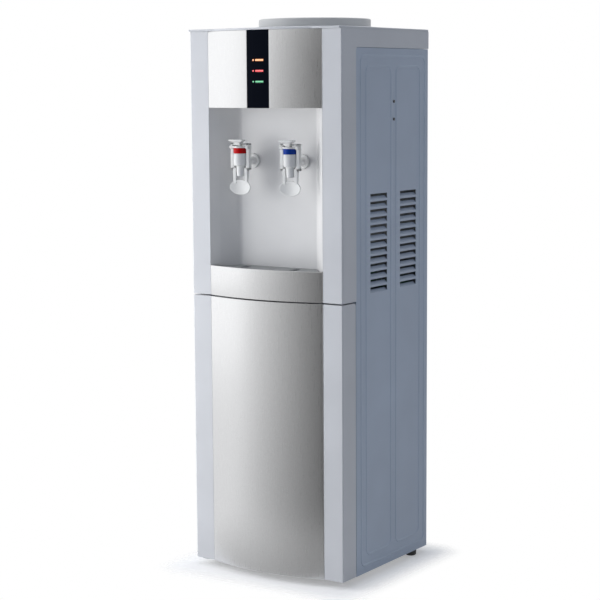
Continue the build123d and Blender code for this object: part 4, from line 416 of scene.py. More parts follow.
def stations(length, edge, middle):
    """Places along a bar, and how far its section is drawn in there: a quarter round over each end."""
    turn = np.linspace(np.pi / 2, 0, ROUND_STEPS + 1)
    start, inset = edge * (1 - np.sin(turn)), edge * (1 - np.cos(turn))
    between = np.linspace(edge, length - edge, middle + 2)[1:-1]
    along = np.concatenate([start, between, length - start[::-1]])
    return along, np.concatenate([inset, np.zeros(middle), inset[::-1]])


def carried(centres, sides, ups, half_width, half_height, edge, inset):
    """Rounded rectangles carried along a path: each corner is a quarter round of the edge's radius less the
    inset, and a point is the centre plus its share of the side and up vectors. Both ends are closed."""
    quarter = np.linspace(0, np.pi / 2, ROUND_STEPS + 1)
    angles = (quarter + np.arange(4)[:, None] * np.pi / 2).ravel()
    radius = edge - np.reshape(inset, (-1, 1))
    widths = np.reshape(half_width - edge, (-1, 1)) * np.repeat([1, -1, -1, 1], ROUND_STEPS + 1)
    heights = np.reshape(half_height - edge, (-1, 1)) * np.repeat([1, 1, -1, -1], ROUND_STEPS + 1)
    across = (widths + radius * np.cos(angles))[..., None]
    up = (heights + radius * np.sin(angles))[..., None]
    points = centres[:, None] + sides[:, None] * across + ups[:, None] * up
    rows, columns = points.shape[:2]
    end = (rows - 1) * columns
    faces = ring_faces(rows, columns) + [range(columns), range(end, end + columns)]
    return points.reshape(-1, 3), faces


def bowed_panel(x0, x1, z0, z1, depth, thickness, edge):
    """A panel bent round the bow, set back by depth: its section is carried along the arc from x0 to x1."""
    radius = bow_radius - depth - thickness / 2
    start, end = math.asin(x0 / bow_radius), math.asin(x1 / bow_radius)
    along, inset = stations(radius * (end - start), edge, BOW_STATIONS)
    angle = start + along / radius
    out = np.stack([np.sin(angle), -np.cos(angle), 0 * angle], 1)
    ups = np.broadcast_to([0.0, 0.0, 1.0], out.shape)
    centres = radius * out + (0, bow_centre_y, (z0 + z1) / 2)
    return carried(centres, out, ups, thickness / 2, (z1 - z0) / 2, edge, inset)


def plate(outline, z0, z1):
    """A flat plate: its plan outline at two heights, and a face over each."""
    count = len(outline)
    points = np.concatenate([np.column_stack([outline, np.full(count, z)]) for z in (z0, z1)])
    return points, ring_faces(2, count) + [range(count), range(count, 2 * count)]


silver_front = silver_lacquer()
fascia_low, fascia_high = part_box("upper_fascia")
bed_half = WINDOW_HALF + BED_GAP
fascia_half = fascia_high.x
shelf_line = bow_line(np.linspace(-fascia_half, fascia_half, BOW_POINTS)) + (0, SKIN / 2)
shelf = np.concatenate([shelf_line, [(fascia_half, SHELF_BACK_Y), (-fascia_half, SHELF_BACK_Y)]])
made_piece(
    "upper_fascia_panel", "cabinet", silver_front, ["upper_fascia"],
    [
        bowed_panel(-fascia_half, -bed_half, fascia_low.z, fascia_high.z, 0, SKIN, PANEL_EDGE),
        bowed_panel(bed_half, fascia_half, fascia_low.z, fascia_high.z, 0, SKIN, PANEL_EDGE),
        bowed_panel(
            -bed_half - SKIN, bed_half + SKIN, fascia_low.z, fascia_high.z,
            WINDOW_DEPTH, SKIN - WINDOW_DEPTH, PANEL_EDGE / 2,
        ),
        plate(shelf, fascia_low.z, fascia_low.z + SKIN),
    ],
)


# Window, indicator lights and their board: a glossy black strip with slots for three light pipes, each a
# dot and a bar of plastic tinted amber, red or green, lit from a small green circuit board.
WINDOW_BLACK = (0.003, 0.0045, 0.009)
LIGHTS = {
    "power_lens": ((1.0, 0.35, 0.1), (1.0, 0.85, 0.7)),
    "heat_lens": ((0.75, 0.02, 0.03), (1.0, 0.5, 0.5)),
    "cool_lens": ((0.02, 0.3, 0.12), (0.5, 0.85, 0.65)),
}
LIGHT_STRENGTH = 0.9
LIGHT_CLOUD = 0.004
CLOUD_SHADE = 0.5
RIM_SHADE = 0.3
TINT_BANDS = (0.25, 0.75)
BOARD_GREEN = (0.02, 0.12, 0.05)


def light_pipe(name, tint, core):
    """Lit plastic: a dim rim, the tint inside it, and a paler core along its lit middle."""
    low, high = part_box(name)
    material, shader = finish(name + "_lit", Roughness=0.25, Emission_Strength=LIGHT_STRENGTH)
    shade(shader, pattern(shader, "Noise", LIGHT_CLOUD), CLOUD_SHADE * np.array(tint), tint)
    tree = shader.id_data
    place = tree.nodes.new("ShaderNodeTexCoord")
    apart = tree.nodes.new("ShaderNodeSeparateXYZ")
    band = tree.nodes.new("ShaderNodeMapRange")
    band.inputs["From Min"].default_value = low.z
    band.inputs["From Max"].default_value = high.z
    ramp = tree.nodes.new("ShaderNodeValToRGB")
    stops = ramp.color_ramp.elements
    stops[0].color = stops[1].color = (*(RIM_SHADE * np.array(tint)), 1)
    stops.new(0.5).color = (*core, 1)
    for height in TINT_BANDS:
        stops.new(height).color = (*tint, 1)
    tree.links.new(place.outputs["Object"], apart.inputs["Vector"])
    tree.links.new(apart.outputs["Z"], band.inputs["Value"])
    tree.links.new(band.outputs["Result"], ramp.inputs["Fac"])
    tree.links.new(ramp.outputs["Color"], shader.inputs["Emission Color"])
    return material


window_gloss = moulded(
    "window_gloss", WINDOW_BLACK, roughness=0.1, grain=0.02, height=0.000001, Specular_IOR_Level=0.02
)
dress(window_gloss, "display_window")
for lens, (tint, core) in LIGHTS.items():
    dress(light_pipe(lens, tint, core), lens)
board_lacquer = moulded("board_lacquer", BOARD_GREEN, roughness=0.35, grain=0.002, height=0.00003)
dress(board_lacquer, "indicator_board", "power_board")


# Dispensing alcove: a pale grey moulding with splayed sides and rounded back corners, matt so that drips
# don't show. Its sides thin out to fine edges beside the pillars, and a flat ceiling closes it above.
ALCOVE_GREY = (0.75, 0.745, 0.74)
ALCOVE_WALL = 0.0025
ALCOVE_BACK_Y = -0.094
ALCOVE_FRONT_HALF = 0.113
ALCOVE_BACK_HALF = 0.080
ALCOVE_ROUND = 0.010
INNER_CORNERS = 6
LIP_EDGE = 0.0005
LIP_TAPER = 0.012
TRAY_CLEARANCE = 0.0005


def alcove_loop(front):
    """Plan of the wall: inside up one splayed side, over the back and down the other, and outside the same
    way back, a wall's thickness off but for the fine lips. Its back corners share their centres."""
    splay = (ALCOVE_FRONT_HALF - ALCOVE_BACK_HALF) / (ALCOVE_BACK_Y - alcove_low.y)
    wall = ALCOVE_WALL * math.hypot(1, splay)
    inner_front = ALCOVE_FRONT_HALF - splay * (front - alcove_low.y)
    outer_y = ALCOVE_BACK_Y + ALCOVE_WALL
    outer_back = ALCOVE_BACK_HALF - splay * ALCOVE_WALL + wall
    lip_x = inner_front + wall - LIP_EDGE
    taper_x = inner_front - splay * LIP_TAPER
    lip = LIP_EDGE / 3
    inner, outer = ALCOVE_ROUND, ALCOVE_ROUND + ALCOVE_WALL
    return rounded_path([
        (lip_x, front, lip),
        (taper_x, front + LIP_TAPER, inner),
        (ALCOVE_BACK_HALF, ALCOVE_BACK_Y, inner),
        (-ALCOVE_BACK_HALF, ALCOVE_BACK_Y, inner),
        (-taper_x, front + LIP_TAPER, inner),
        (-lip_x, front, lip),
        (-inner_front - wall, front, lip),
        (-outer_back, outer_y, outer),
        (outer_back, outer_y, outer),
        (inner_front + wall, front, lip),
    ])


def alcove_walls():
    """The plan carried up: set back behind the tray's front at the foot, and out to the lip above it."""
    foot, top = alcove_low.z, alcove_high.z - ALCOVE_WALL
    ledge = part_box("tray_fascia")[1].z + TRAY_CLEARANCE
    foot_loop, lip_loop = alcove_loop(SHELF_BACK_Y), alcove_loop(alcove_low.y)
    rows = [(foot_loop, foot), (foot_loop, ledge), (lip_loop, ledge), (lip_loop, top)]
    points = np.concatenate([np.column_stack([loop, np.full(len(loop), z)]) for loop, z in rows])
    count, end = len(foot_loop), len(points)
    return points, ring_faces(len(rows), count) + [range(count), range(end - count, end)]


alcove_low, alcove_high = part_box("alcove_liner")
alcove_matt = moulded("alcove_matt", ALCOVE_GREY, roughness=0.45, grain=0.0007, height=0.000008)
ceiling = alcove_loop(SHELF_BACK_Y)[INNER_CORNERS * (ROUND_STEPS + 1):]
made_piece(
    "alcove_moulding", "cabinet", alcove_matt, ["alcove_liner"],
    [alcove_walls(), plate(ceiling, alcove_high.z - ALCOVE_WALL, alcove_high.z)],
)


# Drip tray: a charcoal basin that slides out, with a silver bowed front like the fascia, and a mid grey
# grille in its rim with drain slots under each tap.
TRAY_GREY = (0.05, 0.052, 0.055)
GRILLE_GREY = (0.28, 0.285, 0.29)
TRAY_ROUNDING = 0.0005
tray_matt = moulded("tray_matt", TRAY_GREY, roughness=0.45, grain=0.0007, height=0.000008)
grille_matt = moulded("grille_matt", GRILLE_GREY, roughness=0.42, grain=0.0007, height=0.000008)
softened("drip_tray", "drip_tray_set", tray_matt, TRAY_ROUNDING)
softened("drip_grille", "drip_grille", grille_matt, TRAY_ROUNDING)
tray_low, tray_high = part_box("tray_fascia")
made_piece(
    "tray_front_panel", "drip_tray_set", silver_front, ["tray_fascia"],
    [bowed_panel(-tray_high.x, tray_high.x, tray_low.z, tray_high.z, 0, SKIN, PANEL_EDGE)],
)


# Bottle seat: collar, funnel and neck well in one grey moulding, with a white no-spill spike in the well and
# a silicone ring that seals it on the tank.
COLLAR_GREY = (0.6, 0.605, 0.6)
GLOSS_WHITE = (0.78, 0.78, 0.765)
SILICONE = (0.68, 0.68, 0.66)
SECTORS = 128
GUARD_WALL = 0.0025
COVER_GAP = 0.0003
SPIGOT_GAP = 0.0005
RIM_WIDTH = 0.0065
THROAT_RADIUS = 0.037
THROAT_Z = 0.925
THROAT_DROP = 0.008
WELL_RADIUS = 0.031
WELL_Z = 0.850
SPIKE_HOLE = 0.00915
SMALL_ROUND = 0.0004
RIM_ROUND = 0.0022
LIP_ROUND = 0.002
THROAT_ROUND = 0.006
WELL_ROUND = 0.003
UNDER_ROUND = 0.005


def turned(profile, x, y, lying=False):
    """A closed profile turned about an axis: radius times cosine and sine, and its height along Z, or Y
    where the axis lies down."""
    angle = np.linspace(0, 2 * np.pi, SECTORS, endpoint=False)
    radius, height = profile[:, :1], np.broadcast_to(profile[:, 1:], (len(profile), SECTORS))
    across, other = radius * np.cos(angle), radius * np.sin(angle)
    grid = (across + x, height, other + y) if lying else (across + x, other + y, height)
    return np.stack(grid, -1).reshape(-1, 3), ring_faces(len(profile), SECTORS, rows_close=True)


def guard_profile():
    """Half section of the seat: from the collar's foot over the rim, down the funnel and the well, and back
    along the underside a wall's thickness away."""
    collar, rim, foot = guard_high.x, guard_high.z, cover_high.z + COVER_GAP
    spigot = COVER_HOLE_RADIUS - SPIGOT_GAP
    skirt, lip = spigot - GUARD_WALL, collar - RIM_WIDTH
    slope = (rim - GUARD_WALL - THROAT_Z) / (lip - THROAT_RADIUS)
    sink = GUARD_WALL * math.hypot(1, slope)
    neck_z = THROAT_Z - THROAT_DROP
    return rounded_path([
        (collar, foot, SMALL_ROUND),
        (collar, rim, RIM_ROUND),
        (lip + GUARD_WALL, rim, EASED_EDGE),
        (lip, rim - GUARD_WALL, LIP_ROUND),
        (THROAT_RADIUS, THROAT_Z, THROAT_ROUND),
        (WELL_RADIUS, neck_z, THROAT_ROUND),
        (WELL_RADIUS, WELL_Z, WELL_ROUND),
        (SPIKE_HOLE, WELL_Z, SMALL_ROUND),
        (SPIKE_HOLE, WELL_Z - GUARD_WALL, SMALL_ROUND),
        (WELL_RADIUS + GUARD_WALL, WELL_Z - GUARD_WALL, UNDER_ROUND),
        (WELL_RADIUS + GUARD_WALL, neck_z - GUARD_WALL / 2, UNDER_ROUND),
        (THROAT_RADIUS + GUARD_WALL / 2, THROAT_Z - sink, UNDER_ROUND),
        (skirt, rim - GUARD_WALL + (skirt - lip) * slope - sink, SMALL_ROUND),
        (skirt, foot - 2 * GUARD_WALL, SMALL_ROUND),
        (spigot, foot - 2 * GUARD_WALL, SMALL_ROUND),
        (spigot, foot, SMALL_ROUND),
    ])


collar_matt = moulded("collar_matt", COLLAR_GREY, roughness=0.4, grain=0.0008, height=0.000006)
made_piece(
    "bottle_seat_moulding", "bottle_seat", collar_matt, ["bottle_guard"],
    [turned(guard_profile(), 0, axis_y)],
)
gloss_white = moulded(
    "gloss_white", GLOSS_WHITE, roughness=0.16, grain=0.004, height=0.000006, Coat_Weight=0.3
)
silicone = moulded(
    "milky_silicone", SILICONE, roughness=0.55, grain=0.001, height=0.000008, Subsurface_Weight=0.2
)
dress(gloss_white, "feed_spike")
dress(silicone, "guard_seal")


# Door: a white moulded frame with two pillars that run on from the hood's, a bowed silver skin snapped into
# it and a formed pan behind. It hangs on nylon bushes at the left and is held by a magnet at the right.
DOOR_ROUNDING = 0.0006
STEEL_DULL = (0.4, 0.4, 0.4)
STEEL_BRIGHT = (0.56, 0.56, 0.555)
NYLON = (0.66, 0.65, 0.6)
BLACK_PLASTIC = (0.02, 0.02, 0.022)
softened("door_frame", "door", white_moulding, DOOR_ROUNDING)
skin_low, skin_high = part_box("door_skin")
made_piece(
    "door_panel", "door", silver_front, ["door_skin"],
    [bowed_panel(-skin_high.x, skin_high.x, skin_low.z, skin_high.z, 0, SKIN, PANEL_EDGE)],
)
brushed_steel = sheet_metal(
    "brushed_steel", STEEL_DULL, STEEL_BRIGHT, cell=0.0008, roughness=0.32, stretch=(1, 1, 40)
)
black_plastic = moulded("black_moulding", BLACK_PLASTIC, roughness=0.42, grain=0.0008, height=0.00001)
nylon = moulded("nylon", NYLON, roughness=0.4, grain=0.001, height=0.000006)
dress(nylon, "hinge_bushes")
dress(brushed_steel, "upper_hinge_pin", "catch_strike")
dress(black_plastic, "magnet_catch")


# Taps: pale grey mouldings with a barrel, a nozzle and a shank through the alcove's wall, held by a nut. A
# red or blue spring collar marks each, and a glossy white lever with a thumb plate and an oval paddle rocks
# on two stub pins.
TAP_GREY = (0.8, 0.8, 0.79)
BARREL_RADIUS = 0.0125
BARREL_BORE = 0.0085
BARREL_FLOOR = 0.0025
BARREL_DROP = 0.02115
BARREL_ROUND = 0.002
HEAD_ROUND = 0.0008
NECK_RADIUS = 0.0105
NOZZLE_RADIUS = 0.0082
NOZZLE_TIP_RADIUS = 0.007
NOZZLE_BORE = 0.005
NOZZLE_ROUND = 0.0015
TIP_ROUND = 0.0006
SHARP_CORNER = 0.0001
SHANK_RADIUS = 0.007
SHANK_BORE = 0.004
SHANK_DROP = 0.01395
SHANK_END_Y = -0.0735
BARB_RADIUS = 0.005
FLANGE_RADIUS = 0.0125
FLANGE_THICKNESS = 0.003
FLANGE_ROUND = 0.0015
FLANGE_BACK_Y = -0.095
PIN_RADIUS = 0.0014
PIN_BORE = 0.0005
PIN_PLAY = 0.0001
BORE_CLEARANCE = 0.0002
PIVOT_SETBACK = 0.004
RING_RED = (0.5, 0.001, 0.002)
RING_BLUE = (0.001, 0.04, 0.3)
RING_WALL = 0.00185
RING_GAP = math.radians(30)
RING_PLAY = 0.00015
RING_STATIONS = 60
EYE_RADIUS = 0.0032
LEVER_GAP = 0.0007
ARM_WIDTH = 0.006
ARM_DEPTH = 0.0075
ARM_STATIONS = 12
BAR_STATIONS = 2
STEP_DROP = 0.0034
STEP_HEIGHT = 0.003
BRIDGE_GAP = 0.0023
BRIDGE_THICKNESS = 0.0025
FORK_HALF = 0.006
FORK_REACH = 0.006
SLOT_HALF = 0.0026
NECK_SETBACK = 0.008
PADDLE_WIDTH = 0.043
PADDLE_HEIGHT = 0.026
PADDLE_THICKNESS = 0.0026
PADDLE_REACH = 0.0045
PADDLE_DISH = 0.004
PADDLE_RINGS = 11
PADDLE_RIM_STEPS = 9
PADDLE_SPOKES = 72
THUMB_WIDTH = 0.028
THUMB_DEPTH = 0.0114
THUMB_THICKNESS = 0.0026
THUMB_NECK = 0.0105
THUMB_EDGE = 0.0007
THUMB_EDGE_ROWS = 4
FLARE_ROWS = 8
FINE_EDGE = 0.0005


def bar(start, end, side, half_width, half_height):
    """A straight rounded bar: its section's width lies along side, its height across both."""
    start, end, side = (np.asarray(v, float) for v in (start, end, side))
    length = np.linalg.norm(end - start)
    along, inset = stations(length, FINE_EDGE, BAR_STATIONS)
    way = (end - start) / length
    centres = start + along[:, None] * way
    sides = np.broadcast_to(side, centres.shape)
    ups = np.broadcast_to(np.cross(way, side), centres.shape)
    return carried(centres, sides, ups, half_width, half_height, FINE_EDGE, inset)


def across_x(profile, x, y, z):
    """A profile turned about a line along X, with its middle at a place."""
    points, faces = turned(profile, 0, 0)
    return points[:, [2, 0, 1]] + (x, y, z), faces


def tap_body(x, y, levels):
    """Barrel, nozzle and neck turned as one, shank and flange turned about Y, stub pins and their ears."""
    nozzle, barrel, ring, ring_top, head, shank, shank_end, barb_end, flange_back, pivot_y = levels
    floor = barrel + BARREL_FLOOR
    barrel_profile = rounded_path([
        (NOZZLE_BORE, nozzle, SMALL_ROUND),
        (NOZZLE_TIP_RADIUS, nozzle, TIP_ROUND),
        (NOZZLE_RADIUS, barrel, NOZZLE_ROUND),
        (BARREL_RADIUS, barrel, BARREL_ROUND),
        (BARREL_RADIUS, ring, SMALL_ROUND),
        (NECK_RADIUS, ring, SHARP_CORNER),
        (NECK_RADIUS, ring_top, SHARP_CORNER),
        (BARREL_RADIUS, ring_top, SMALL_ROUND),
        (BARREL_RADIUS, head, HEAD_ROUND),
        (BARREL_BORE, head, CRISP_EDGE),
        (BARREL_BORE, floor, CRISP_EDGE),
        (NOZZLE_BORE, floor, CRISP_EDGE),
    ])
    shank_front, flange_front = y + NECK_RADIUS, flange_back - FLANGE_THICKNESS
    shank_profile = rounded_path([
        (SHANK_BORE, shank_front, SHARP_CORNER),
        (SHANK_RADIUS, shank_front, SHARP_CORNER),
        (SHANK_RADIUS, flange_front, EASED_EDGE),
        (FLANGE_RADIUS, flange_front, FLANGE_ROUND),
        (FLANGE_RADIUS, flange_back, CRISP_EDGE),
        (SHANK_RADIUS, flange_back, CRISP_EDGE),
        (SHANK_RADIUS, shank_end, FINE_EDGE),
        (BARB_RADIUS, shank_end, CRISP_EDGE),
        (BARB_RADIUS, barb_end, FINE_EDGE),
        (SHANK_BORE, barb_end, CRISP_EDGE),
    ])
    pin_z = (ring_top + head) / 2
    ear_half = (head - ring_top) / 2
    ear = BARREL_RADIUS + LEVER_GAP / 2
    reach = BARREL_BORE + BORE_CLEARANCE
    stub = (BARREL_RADIUS + LEVER_GAP - reach) / 2 - PIN_PLAY
    pin_corners = [(PIN_RADIUS, -stub), (PIN_RADIUS, stub), (PIN_BORE, stub), (PIN_BORE, -stub)]
    pin_profile = rounded_path(pin_corners, CRISP_EDGE)
    pins = [across_x(pin_profile, x + side * (reach + stub), pivot_y, pin_z) for side in (-1, 1)]
    ears = []
    for side in (-1, 1):
        outer, inner = (x + side * ear, pivot_y, pin_z), (x + side * reach, pivot_y, pin_z)
        ears.append(bar(outer, inner, (0, 1, 0), ARM_DEPTH / 2, ear_half))
    return [turned(barrel_profile, x, y), turned(shank_profile, x, shank, lying=True)] + pins + ears


def tap_ring(x, y, low, high):
    """A rounded strip round the barrel's neck, from one side of the gap at the back to the other."""
    radius = BARREL_RADIUS - RING_WALL / 2
    start, end = np.pi / 2 + RING_GAP, 2.5 * np.pi - RING_GAP
    along, inset = stations(radius * (end - start), FINE_EDGE, RING_STATIONS)
    angle = start + along / radius
    out = np.stack([np.cos(angle), np.sin(angle), 0 * angle], 1)
    ups = np.broadcast_to([0.0, 0.0, 1.0], out.shape)
    centres = radius * out + (x, y, (low + high) / 2)
    return carried(centres, out, ups, RING_WALL / 2, (high - low) / 2, FINE_EDGE, inset)


def lever_arm(x, side, y, levels):
    """A bar beside the barrel with an eye about the pin, a step inwards under the barrel, and a bar that
    tapers in depth towards the paddle."""
    top, step_top, root_y, root_z, pin_y, pin_z = levels
    inner, outer = BARREL_RADIUS + LEVER_GAP, BARREL_RADIUS + LEVER_GAP + ARM_WIDTH
    low_inner = NOZZLE_RADIUS + LEVER_GAP
    half_width, half_depth = ARM_WIDTH / 2, ARM_DEPTH / 2
    arm_x, low_x = x + side * (inner + half_width), x + side * (low_inner + half_width)
    step_z = step_top - STEP_HEIGHT / 2
    step_start, step_end = (x + side * low_inner, y, step_z), (x + side * outer, y, step_z)
    eye = [
        (PIN_RADIUS, -half_width), (EYE_RADIUS, -half_width),
        (EYE_RADIUS, half_width), (PIN_RADIUS, half_width),
    ]
    taper_top = step_top - FINE_EDGE
    along, inset = stations(taper_top - root_z, FINE_EDGE, ARM_STATIONS)
    share = along / along[-1]
    centres = np.column_stack([np.full(len(share), low_x), y + (root_y - y) * share, taper_top - along])
    depths = half_depth + (PADDLE_THICKNESS / 2 - half_depth) * share
    sides = np.broadcast_to([1.0, 0.0, 0.0], centres.shape)
    ups = np.broadcast_to([0.0, -1.0, 0.0], centres.shape)
    return [
        bar((arm_x, y, step_top - STEP_HEIGHT), (arm_x, y, top), (1, 0, 0), half_width, half_depth),
        bar(step_start, step_end, (0, 1, 0), half_depth, STEP_HEIGHT / 2),
        across_x(rounded_path(eye, FINE_EDGE), arm_x, pin_y, pin_z),
        carried(centres, sides, ups, half_width, depths, FINE_EDGE, inset),
    ]


def lever_bridge(x, y, low, high):
    """The bar over the barrel, open in the middle for the stem, and the fork that runs on to the neck."""
    half, middle = (high - low) / 2, (low + high) / 2
    outer = BARREL_RADIUS + LEVER_GAP + ARM_WIDTH
    slot_front, front = y - SLOT_HALF - FINE_EDGE, y - NECK_SETBACK - ARM_DEPTH / 2
    prong_half = (FORK_HALF - SLOT_HALF) / 2
    prong_front, prong_back = slot_front - ARM_DEPTH / 4, y + FORK_REACH
    parts = [bar((x, front, middle), (x, slot_front, middle), (1, 0, 0), FORK_HALF, half)]
    for side in (-1, 1):
        slot_x, outer_x = x + side * SLOT_HALF, x + side * outer
        prong_x = x + side * (SLOT_HALF + prong_half)
        parts += [
            bar((slot_x, y, middle), (outer_x, y, middle), (0, 1, 0), ARM_DEPTH / 2, half),
            bar((prong_x, prong_front, middle), (prong_x, prong_back, middle), (1, 0, 0), prong_half, half),
        ]
    return parts


def paddle(x, bed, middle):
    """An oval cut from a hollow ball: rings of the oval drawn in to its centre, each point brought forward
    by the ball's rise there, and a rounded rim from the hollow to the back."""
    turn = np.linspace(0, np.pi, PADDLE_RIM_STEPS)
    rim = PADDLE_THICKNESS / 2
    share = np.linspace(0, 1, PADDLE_RINGS + 1)[:-1]
    flat = np.zeros(PADDLE_RINGS)
    drawn = np.concatenate([share, np.ones(PADDLE_RIM_STEPS), share[::-1]])[:, None]
    bulge = np.concatenate([flat, rim * np.sin(turn), flat])[:, None]
    depth = np.concatenate([flat, rim - rim * np.cos(turn), flat + 2 * rim])[:, None]
    angle = np.linspace(0, 2 * np.pi, PADDLE_SPOKES, endpoint=False)
    across = (drawn * (PADDLE_WIDTH / 2 - rim) + bulge) * np.cos(angle)
    up = (drawn * (PADDLE_HEIGHT / 2 - rim) + bulge) * np.sin(angle)
    ball = ((PADDLE_WIDTH / 2) ** 2 + PADDLE_DISH**2) / (2 * PADDLE_DISH)
    rise = ball - np.sqrt(ball**2 - across**2 - up**2)
    points = np.stack([across + x, bed + depth - rise, up + middle], -1)
    return points.reshape(-1, 3), ring_faces(*across.shape)


def thumb_plate(x, front, neck_y, low, high):
    """Rounded rectangles stacked up: a neck that flares out to the plate, whose edges are rounded."""
    share = np.concatenate([np.linspace(0, 1, FLARE_ROWS) ** 2, np.ones(THUMB_EDGE_ROWS)])
    flare = np.linspace(low, high - THUMB_THICKNESS, FLARE_ROWS)
    turn = np.linspace(0, np.pi / 2, THUMB_EDGE_ROWS + 1)[1:]
    heights = np.concatenate([flare, high - THUMB_EDGE + THUMB_EDGE * np.sin(turn)])
    inset = np.concatenate([np.zeros(FLARE_ROWS), THUMB_EDGE * (1 - np.cos(turn))])
    widths = THUMB_NECK + (THUMB_WIDTH - THUMB_NECK) * share
    depths = ARM_DEPTH + (THUMB_DEPTH - ARM_DEPTH) * share
    middles = neck_y + (front + THUMB_DEPTH / 2 - neck_y) * share
    centres = np.column_stack([np.full(len(share), x), middles, heights])
    sides = np.broadcast_to([1.0, 0.0, 0.0], centres.shape)
    ups = np.broadcast_to([0.0, 1.0, 0.0], centres.shape)
    return carried(centres, sides, ups, widths / 2, depths / 2, THUMB_EDGE, inset)


tap_grey = moulded(
    "tap_grey", TAP_GREY, roughness=0.35, grain=0.003, height=0.000006, Specular_IOR_Level=0.25
)
for tap, ring_colour in (("hot", RING_RED), ("cold", RING_BLUE)):
    body_low, body_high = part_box(tap + "_tap_body")
    ring_low, ring_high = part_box(tap + "_tap_ring")
    lever_low, lever_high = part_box(tap + "_tap_lever")
    tap_x = (body_low.x + body_high.x) / 2
    tap_y = ring_low.y + BARREL_RADIUS
    shank_z, barrel_z = ring_low.z - SHANK_DROP, ring_low.z - BARREL_DROP
    ring_top_z = ring_high.z + RING_PLAY
    pivot_y = tap_y - PIVOT_SETBACK
    levels = (
        body_low.z, barrel_z, ring_low.z - RING_PLAY, ring_top_z, body_high.z,
        shank_z, SHANK_END_Y, body_high.y, FLANGE_BACK_Y, pivot_y,
    )
    made_piece(
        tap + "_tap_moulding", "cabinet", tap_grey, [tap + "_tap_body"],
        tap_body(tap_x, tap_y, levels),
    )
    ring_gloss = moulded(
        tap + "_ring_gloss", ring_colour, roughness=0.3, grain=0.003, height=0.000004,
        Specular_IOR_Level=0.12,
    )
    made_piece(
        tap + "_tap_collar", "cabinet", ring_gloss, [tap + "_tap_ring"],
        [tap_ring(tap_x, tap_y, ring_low.z, ring_high.z)],
    )
    bridge_z = body_high.z + BRIDGE_GAP
    bridge_top = bridge_z + BRIDGE_THICKNESS
    paddle_z = lever_low.z + PADDLE_HEIGHT / 2
    bed_y = tap_y - PADDLE_REACH + PADDLE_DISH
    root_y, root_z = bed_y - PADDLE_DISH / 2 + PADDLE_THICKNESS / 2, paddle_z + PADDLE_HEIGHT / 4
    pin_z = (ring_top_z + body_high.z) / 2
    arm_levels = (bridge_top, barrel_z - STEP_DROP, root_y, root_z, pivot_y, pin_z)
    parts = lever_arm(tap_x, -1, tap_y, arm_levels) + lever_arm(tap_x, 1, tap_y, arm_levels)
    parts += lever_bridge(tap_x, tap_y, bridge_z, bridge_top)
    parts += [
        thumb_plate(tap_x, lever_low.y, tap_y - NECK_SETBACK, bridge_top - FINE_EDGE, lever_high.z),
        paddle(tap_x, bed_y, paddle_z),
    ]
    made_piece(tap + "_lever_moulding", tap + "_lever", gloss_white, [tap + "_tap_lever"], parts)
dress(silicone, "hot_tap_plunger", "cold_tap_plunger", "tap_gaskets")
dress(gloss_white, "tap_nuts")


# Tanks and cooling: a steel cold tank in rigid foam with a thermoelectric module, a finned alloy sink and a
# fan at its back, and a steel hot tank with a band heater, joined by silicone hoses.
FOAM = (0.7, 0.69, 0.62)
ALLOY_DULL = (0.52, 0.52, 0.53)
ALLOY_BRIGHT = (0.66, 0.66, 0.67)
MICA = (0.34, 0.29, 0.21)
CERAMIC = (0.62, 0.61, 0.56)
HOSE_MILKY = (0.6, 0.6, 0.56)
rigid_foam = moulded("rigid_foam", FOAM, roughness=0.8, grain=0.0025, height=0.0003)
ceramic_block = moulded("ceramic_block", CERAMIC, roughness=0.5, grain=0.0015, height=0.00001)
mill_alloy = sheet_metal(
    "mill_alloy", ALLOY_DULL, ALLOY_BRIGHT, cell=0.0007, roughness=0.36, stretch=(1, 1, 50)
)
mica_band = moulded("mica_band", MICA, roughness=0.5, grain=0.003, height=0.00003)
clear_hose = moulded(
    "clear_hose", HOSE_MILKY, roughness=0.3, grain=0.002, height=0.000005, Subsurface_Weight=0.3
)
dress(gloss_white, "cold_tank_lid")
dress(rigid_foam, "tank_insulation")
dress(ceramic_block, "thermoelectric_module")
dress(mill_alloy, "heat_sink")
dress(mica_band, "heater_and_thermostats")
dress(clear_hose, "water_tubes")
dress(zinc_sheet, "tank_cradle")
dress(brushed_steel, "cold_tank", "hot_tank")


# Rear fittings: black moulded fan, switch housings and gland, rockers in red and green, and a drain with a
# screwed cap.
ROCKERS = {"heat_rocker": (0.42, 0.02, 0.02), "cool_rocker": (0.02, 0.2, 0.07)}
dress(black_plastic, "fan_frame", "fan_rotor", "switch_housings", "cord_gland")
for rocker, colour in ROCKERS.items():
    dress(moulded(rocker + "_gloss", colour, roughness=0.25, grain=0.002, height=0.000004), rocker)
dress(white_moulding, "drain_outlet", "drain_cap")


# Stage: a white floor that fades into a white studio, a soft key and a wide scrim at the left, a light
# overhead and a cool fill from the room. Two glowing sheets that only shiny surfaces see paint reflections:
# one leans in front, graded darker to the right, and one lies on the floor, a painted reflection of a greyer
# floor.
FLOOR_HALF = 1.6
FLOOR_REACH = 0.07
FLOOR_WHITE = (0.85, 0.85, 0.85)
FLOOR_BOUNCE = (0.7, 0.7, 0.7)
FLOOR_GLOW = 0.28
ROOM_FILL = (0.212, 0.238, 0.286)
ROOM_WHITE = (1, 1, 1)
CARD_PAINT = (0, 0, 0, 1)
WHITE_GLOW = (1, 1, 1, 1)
KEY_PLACE = (-1.3, -0.95, 0.7)
KEY_SIZE = (1.4, 1.4)
KEY_POWER = 23.5
SCRIM_PLACE = (-1.8, -0.6, 1.1)
SCRIM_SIZE = (2.4, 2.0)
SCRIM_POWER = 5.5
TOP_PLACE = (0.0, 0.0, 2.5)
TOP_SIZE = (0.8, 0.8)
TOP_POWER = 11
AIM = (0.0, 0.0, 0.5)
# The leaning sheet's glow, brighter at the left, is a painted dark reflection in the silver's right side.
DARK_REFLECTION_CORNERS = [(-0.5, -0.42, 0.001), (0.4, -0.42, 0.001), (0.45, -1.05, 1.3), (-0.5, -1.05, 1.3)]
